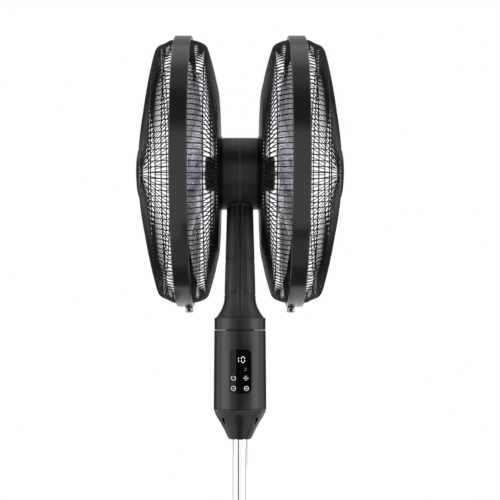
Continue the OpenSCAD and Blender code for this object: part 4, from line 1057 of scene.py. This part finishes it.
for name in ("swivel_collar", "control_housing", "lower_cone", "lock_collar", "outer_pole", "inner_pole",
             "panel_lens", "base_plate", "pole_bush"):
    smooth_copy(name)
for name in ("base_cover", "left_lock_nut", "right_lock_nut", "left_motor_case",
             "right_motor_case", "power_inlet"):
    smooth_copy(name, upright=False)

# %% [markdown]
# ## Seam under the housing
# The housing and the cone meet in a fine groove, which the photo shows as a dark line. A thin gloss
# black band, a millimetre high and turned about the upright axis, lies in the groove as painted shade.

# %% Housing seam
seam_out = min(housing_high.x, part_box("lower_cone")[1].x) + 0.06 * MM
seam_in = seam_out - 1.56 * MM
seam_low, seam_top = housing_low.z - 0.5 * MM, housing_low.z + 0.5 * MM
seam = soft_profile([(seam_in, seam_low), (seam_out, seam_low), (seam_out, seam_top), (seam_in, seam_top)])
put("housing_seam_shadow", solid_revolve(column_revolve(seam)), "column", "charcoal_plastic", cage_wire)

# %% [markdown]
# ## Marks on the panel
# The window shows a lit number, four round touch symbols and a faint fifth one. They are thin raised
# strokes on the glossy surface: a stroke is a path in the panel's own width and height, given a breadth
# and laid on the column's round front.

# %% Panel strokes
panel_z = (lens_low.z + lens_high.z) / 2
panel_r = -lens_low.y


def on_panel(across, up, lift):
    """A point on the window: across and up in metres from its middle, lifted off its face."""
    radius = panel_r + lift
    return np.stack(np.broadcast_arrays(across, -np.sqrt(radius**2 - across**2), panel_z + up), axis=-1)


def stroke(path, breadth, closed=False):
    """A flat bar along a path: four corners at each point, half in the window and half proud of it."""
    path = np.array(path, float) * MM
    ahead = np.roll(path, -1, 0) - np.roll(path, 1, 0) if closed else np.gradient(path, axis=0)
    ahead /= np.linalg.norm(ahead, axis=1, keepdims=True)
    beside = np.stack([-ahead[:, 1], ahead[:, 0]], axis=1) * breadth * MM / 2
    left, right = path + beside, path - beside
    corners = [on_panel(p[:, 0], p[:, 1], lift) for p, lift in (
        (left, 0.04 * MM), (right, 0.04 * MM), (right, -0.3 * MM), (left, -0.3 * MM))]
    return np.stack(corners, axis=1)[None], closed


def arc(cx, cy, radius, start, end, steps=28):
    """Points of an arc in panel millimetres; angles in degrees, anticlockwise from the right."""
    angle = np.radians(np.linspace(start, end, steps))
    return np.stack([cx + radius * np.cos(angle), cy + radius * np.sin(angle)], axis=1)


def ring(cx, cy, radius):
    return arc(cx, cy, radius, 0, 360, 37)[:-1]


def marks(name, strokes, finish):
    """Adds all strokes of one kind as a single piece on the window."""
    surface = Surface()
    for grid, closed in strokes:
        surface.add(grid, wrap_rows=closed)
    put(name, surface, "column", "panel_gloss", finish)


# %% [markdown]
# ## The number and the symbols
# The number is built as a lamp display shows it, from straight bars with small gaps. The symbols are a
# ring with a bar for the power, four petals for the fan, a ring with a hand for the timer and a ring
# with a cross of two flat strokes for the swing. All sizes here are in millimetres on the window.

# %% Lit number
digit_up, digit_half, digit_w = 18.1, 4.3, 2.5
one_x, zero_x = -2.2, 4.5
bar_breadth, bar_gap = 0.75, 1.0


def segments(x_low, x_high, parts):
    """Bars of a digit between two uprights: letters name the bars as usual, from the top round."""
    top, low = digit_up + digit_half, digit_up - digit_half
    half_bars = (top - bar_gap, digit_up + bar_gap), (digit_up - bar_gap, low + bar_gap)
    bars = {name: [(x_low + bar_gap, y), (x_high - bar_gap, y)] for name, y in (("a", top), ("d", low))}
    for name, x, (start, end) in zip("bcef", (x_high, x_high, x_low, x_low),
                                     (*half_bars, half_bars[1], half_bars[0])):
        bars[name] = [(x, start), (x, end)]
    return [stroke(bars[part], bar_breadth) for part in parts]


number = segments(one_x, one_x, "bc") + segments(zero_x - digit_w, zero_x + digit_w, "abcdef")
marks("lit_number", number, digit_glow)

# %% Round symbols
left_x, right_x = -10.0, 9.8
blade_x = right_x - 0.7
upper_y, lower_y = -9.9, -25.6
symbol_r = 3.35
outline_breadth, detail_breadth = 0.5, 0.4


def round_outline(cx, cy):
    """The ring round a symbol."""
    return stroke(ring(cx, cy, symbol_r), outline_breadth, True)


def power_symbol(cx, cy):
    """An open ring with a short slanted bar that comes down through the opening."""
    return [stroke(arc(cx, cy, symbol_r, 120, 410, 33), outline_breadth),
            stroke([(cx + 0.3, cy), (cx + 1.0, cy + 1.4), (cx + 1.7, cy + 2.7)], detail_breadth)]


def blade_symbol(cx, cy):
    """Four curved petals round a dot."""
    petals = []
    for turn in (0, 90, 180, 270):
        x, y = cx + 2.35 * math.cos(math.radians(turn)), cy + 2.35 * math.sin(math.radians(turn))
        petals.append(stroke(arc(x, y, 1.15, turn - 110, turn + 110, 17), 0.35))
    return petals + [stroke(ring(cx, cy, 0.5), 0.6, True)]


def timer_symbol(cx, cy):
    """A ring with a short level hand."""
    return [round_outline(cx, cy), stroke([(cx - 1.2, cy), (cx + 1.2, cy)], outline_breadth)]


def swing_symbol(cx, cy):
    """A ring with two flat strokes that cross, as two triangles that point at each other."""
    crossed = [stroke([(cx - 2.7, cy - rise), (cx + 2.7, cy + rise)], 0.35) for rise in (-1.0, 1.0)]
    return [round_outline(cx, cy)] + crossed


marks("touch_symbols", power_symbol(left_x, upper_y) + blade_symbol(blade_x, upper_y)
      + timer_symbol(left_x, lower_y) + swing_symbol(right_x, lower_y), icon_glow)
marks("faint_symbol", [stroke(arc(8.0, 3.4, 1.9, -140, 140), 0.6)], faint_painted_glow)

# %% [markdown]
# ## Studio
# The picture has a pure white ground. The world is white to the camera and to reflections, and gives
# only a plain soft light to the object. The floor keeps the object's shadow close to the base and turns
# into the same white further out, sooner for reflections than for the camera, so no horizon shows. Two
# upright soft boxes draw the pale bands on the column, and one overhead lights the tops.


# %% World and floor
def white_ground(tree, lit, white, seen_share=1.0, mirrored_share=1.0):
    """Plain white to the camera and to reflections, by a share each, and another shader otherwise."""
    path = tree.nodes.new("ShaderNodeLightPath")
    camera, glossy, through = (
        Socket(tree, path.outputs[f"Is {kind} Ray"]) for kind in ("Camera", "Glossy", "Transmission"))
    seen = camera.math("MAXIMUM", camera, through)
    share = seen * seen_share + glossy * mirrored_share
    return node(tree, "ShaderNodeMixShader", None, {0: share, 1: lit, 2: white})


def rectangle(left, right, low, high):
    """The four corners of a flat rectangle, in order."""
    return (left, low), (right, low), (right, high), (left, high)


def flat_sheet(name, corners, paint):
    """One face with its paint, which belongs to the studio and not to the object."""
    mesh = bpy.data.meshes.new(name)
    mesh.from_pydata(corners, [], [(0, 1, 2, 3)])
    mesh.materials.append(paint)
    sheet = bpy.data.objects.new(name, mesh)
    scene.collection.objects.link(sheet)
    return sheet


def whiter_from(tree, start, end):
    """A share that grows from 0 to 1 with the distance from the pole, in metres."""
    away = node(tree, "ShaderNodeVectorMath", {"operation": "LENGTH"}, {0: object_place(tree)}, output=1)
    return node(tree, "ShaderNodeMapRange", {"interpolation_type": "SMOOTHSTEP"},
                {"Value": away, 1: start, 2: end})


world = bpy.data.worlds.new("studio")
scene.world = world
world.use_nodes = True
tree = world.node_tree
soft = node(tree, "ShaderNodeBackground", None, {"Color": grey(1), "Strength": 0.5})
white = node(tree, "ShaderNodeBackground", None, {"Color": grey(1), "Strength": 1.0})
tree.links.new(white_ground(tree, soft, white).output, tree.nodes["World Output"].inputs["Surface"])

floor_half = 3.0
floor_paint, tree, shader = material("floor_paint", (0.86, 0.86, 0.86), 0.6)
glow = node(tree, "ShaderNodeEmission", None, {"Color": grey(1), "Strength": 1.0})
paint = Socket(tree, shader.outputs["BSDF"])
ground = white_ground(tree, paint, glow, whiter_from(tree, 0.3, 1.0), whiter_from(tree, 0.17, 0.4))
tree.links.new(ground.output, tree.nodes["Material Output"].inputs["Surface"])
floor_edges = rectangle(-floor_half, floor_half, -floor_half, floor_half)
flat_sheet("floor", [(x, y, 0) for x, y in floor_edges], floor_paint)


# %% Soft boxes
def soft_box(name, place, target, width, height, power):
    """A rectangular area lamp at a place, turned towards a target."""
    data = bpy.data.lights.new(name, "AREA")
    data.shape = "RECTANGLE"
    data.size, data.size_y, data.energy = width, height, power
    lamp = bpy.data.objects.new(name, data)
    scene.collection.objects.link(lamp)
    lamp.location = place
    away = np.array(target, float) - np.array(place, float)
    flat = math.hypot(away[0], away[1])
    lamp.rotation_euler = (math.atan2(flat, -away[2]), 0, math.atan2(-away[0], away[1]))
    return lamp


for label, side in SIDES:
    soft_box(f"{label}_box", (side * 1.75, -0.75, 1.0), (0, 0, 0.8), 1.5, 2.0, 18)
overhead = soft_box("overhead_box", (0, 0.5, 2.7), (0, 0, 1.0), 2.0, 1.6, 30)
overhead.visible_glossy = False
scene.view_settings.view_transform = "Standard"

# %% [markdown]
# ## Cards
# A glossy dark object shows what stands round it, so in a white studio it would turn grey all over.
# Photographers hang dark cards beside it. The ones here are seen by reflections only. They leave the
# dark middle of the column and of the cone, the dark part of the window, the fine lines on the chrome
# and the dark zones of the guard rings. Some of them are dim instead of black, where the photo's
# reflection is a dark grey.

# %% Hang the cards
black_paint = material("card_paint", (0.01, 0.01, 0.01), 0.9)[0]
dim_paint, _, shader = material("dim_paint", (0.01, 0.01, 0.01), 0.9)
shader.inputs["Emission Color"].default_value = grey(1)
shader.inputs["Emission Strength"].default_value = 0.4


def card(name, corners, paint):
    """A flat sheet that only reflections see."""
    sheet = flat_sheet(name, corners, paint)
    sheet.visible_camera = sheet.visible_diffuse = sheet.visible_transmission = sheet.visible_shadow = False


def upright_card(name, left, right, depth, low, high, paint=black_paint):
    """A card that faces along Y, from left to right and from low to high."""
    card(name, [(x, depth, z) for x, z in rectangle(left, right, low, high)], paint)


def level_card(name, left, right, near, far, height, paint=black_paint):
    """A card that lies level at a height, from left to right and from near to far."""
    card(name, [(x, y, height) for x, y in rectangle(left, right, near, far)], paint)


upright_card("column_card", -0.088, 0.065, -0.3, 0.55, 0.757)
upright_card("lens_card", 0.064, 0.4, -0.3, 0.612, 0.712)
upright_card("chrome_card", -1.75, -0.7, -1.95, 0.02, 0.38)
level_card("ring_card", -0.9, 0.9, -2.05, -0.62, 2.0)
level_card("top_card", -0.9, 0.9, -0.62, -0.15, 2.0, dim_paint)
upright_card("far_card", -0.9, 0.9, 1.4, 1.6, 3.6, dim_paint)
for label, side in SIDES:
    near, far = sorted((side * 0.06, side * 0.118))
    level_card(f"{label}_low_card", near, far, -0.14, -0.06, 0.72)
    level_card(f"{label}_shade_card", near, far, -0.25, -0.14, 0.72, dim_paint)
    near, far = sorted((side * 0.45, side * 2.2))
    upright_card(f"{label}_back_card", near, far, 1.4, 0.3, 1.59)
level_card("cone_card", -0.065, 0.05, -0.21, -0.07, 0.42)
upright_card("pole_card_back", -0.09, 0.09, 0.45, 0.0, 0.5, dim_paint)
for name, (x1, y1), (x2, y2) in (("pole_card_right", (0.45, -0.06), (0.45, 0.05)),
                                 ("pole_card_left", (-0.32, 0.37), (-0.15, 0.46))):
    card(name, [(x1, y1, 0.0), (x2, y2, 0.0), (x2, y2, 0.5), (x1, y1, 0.5)], black_paint)
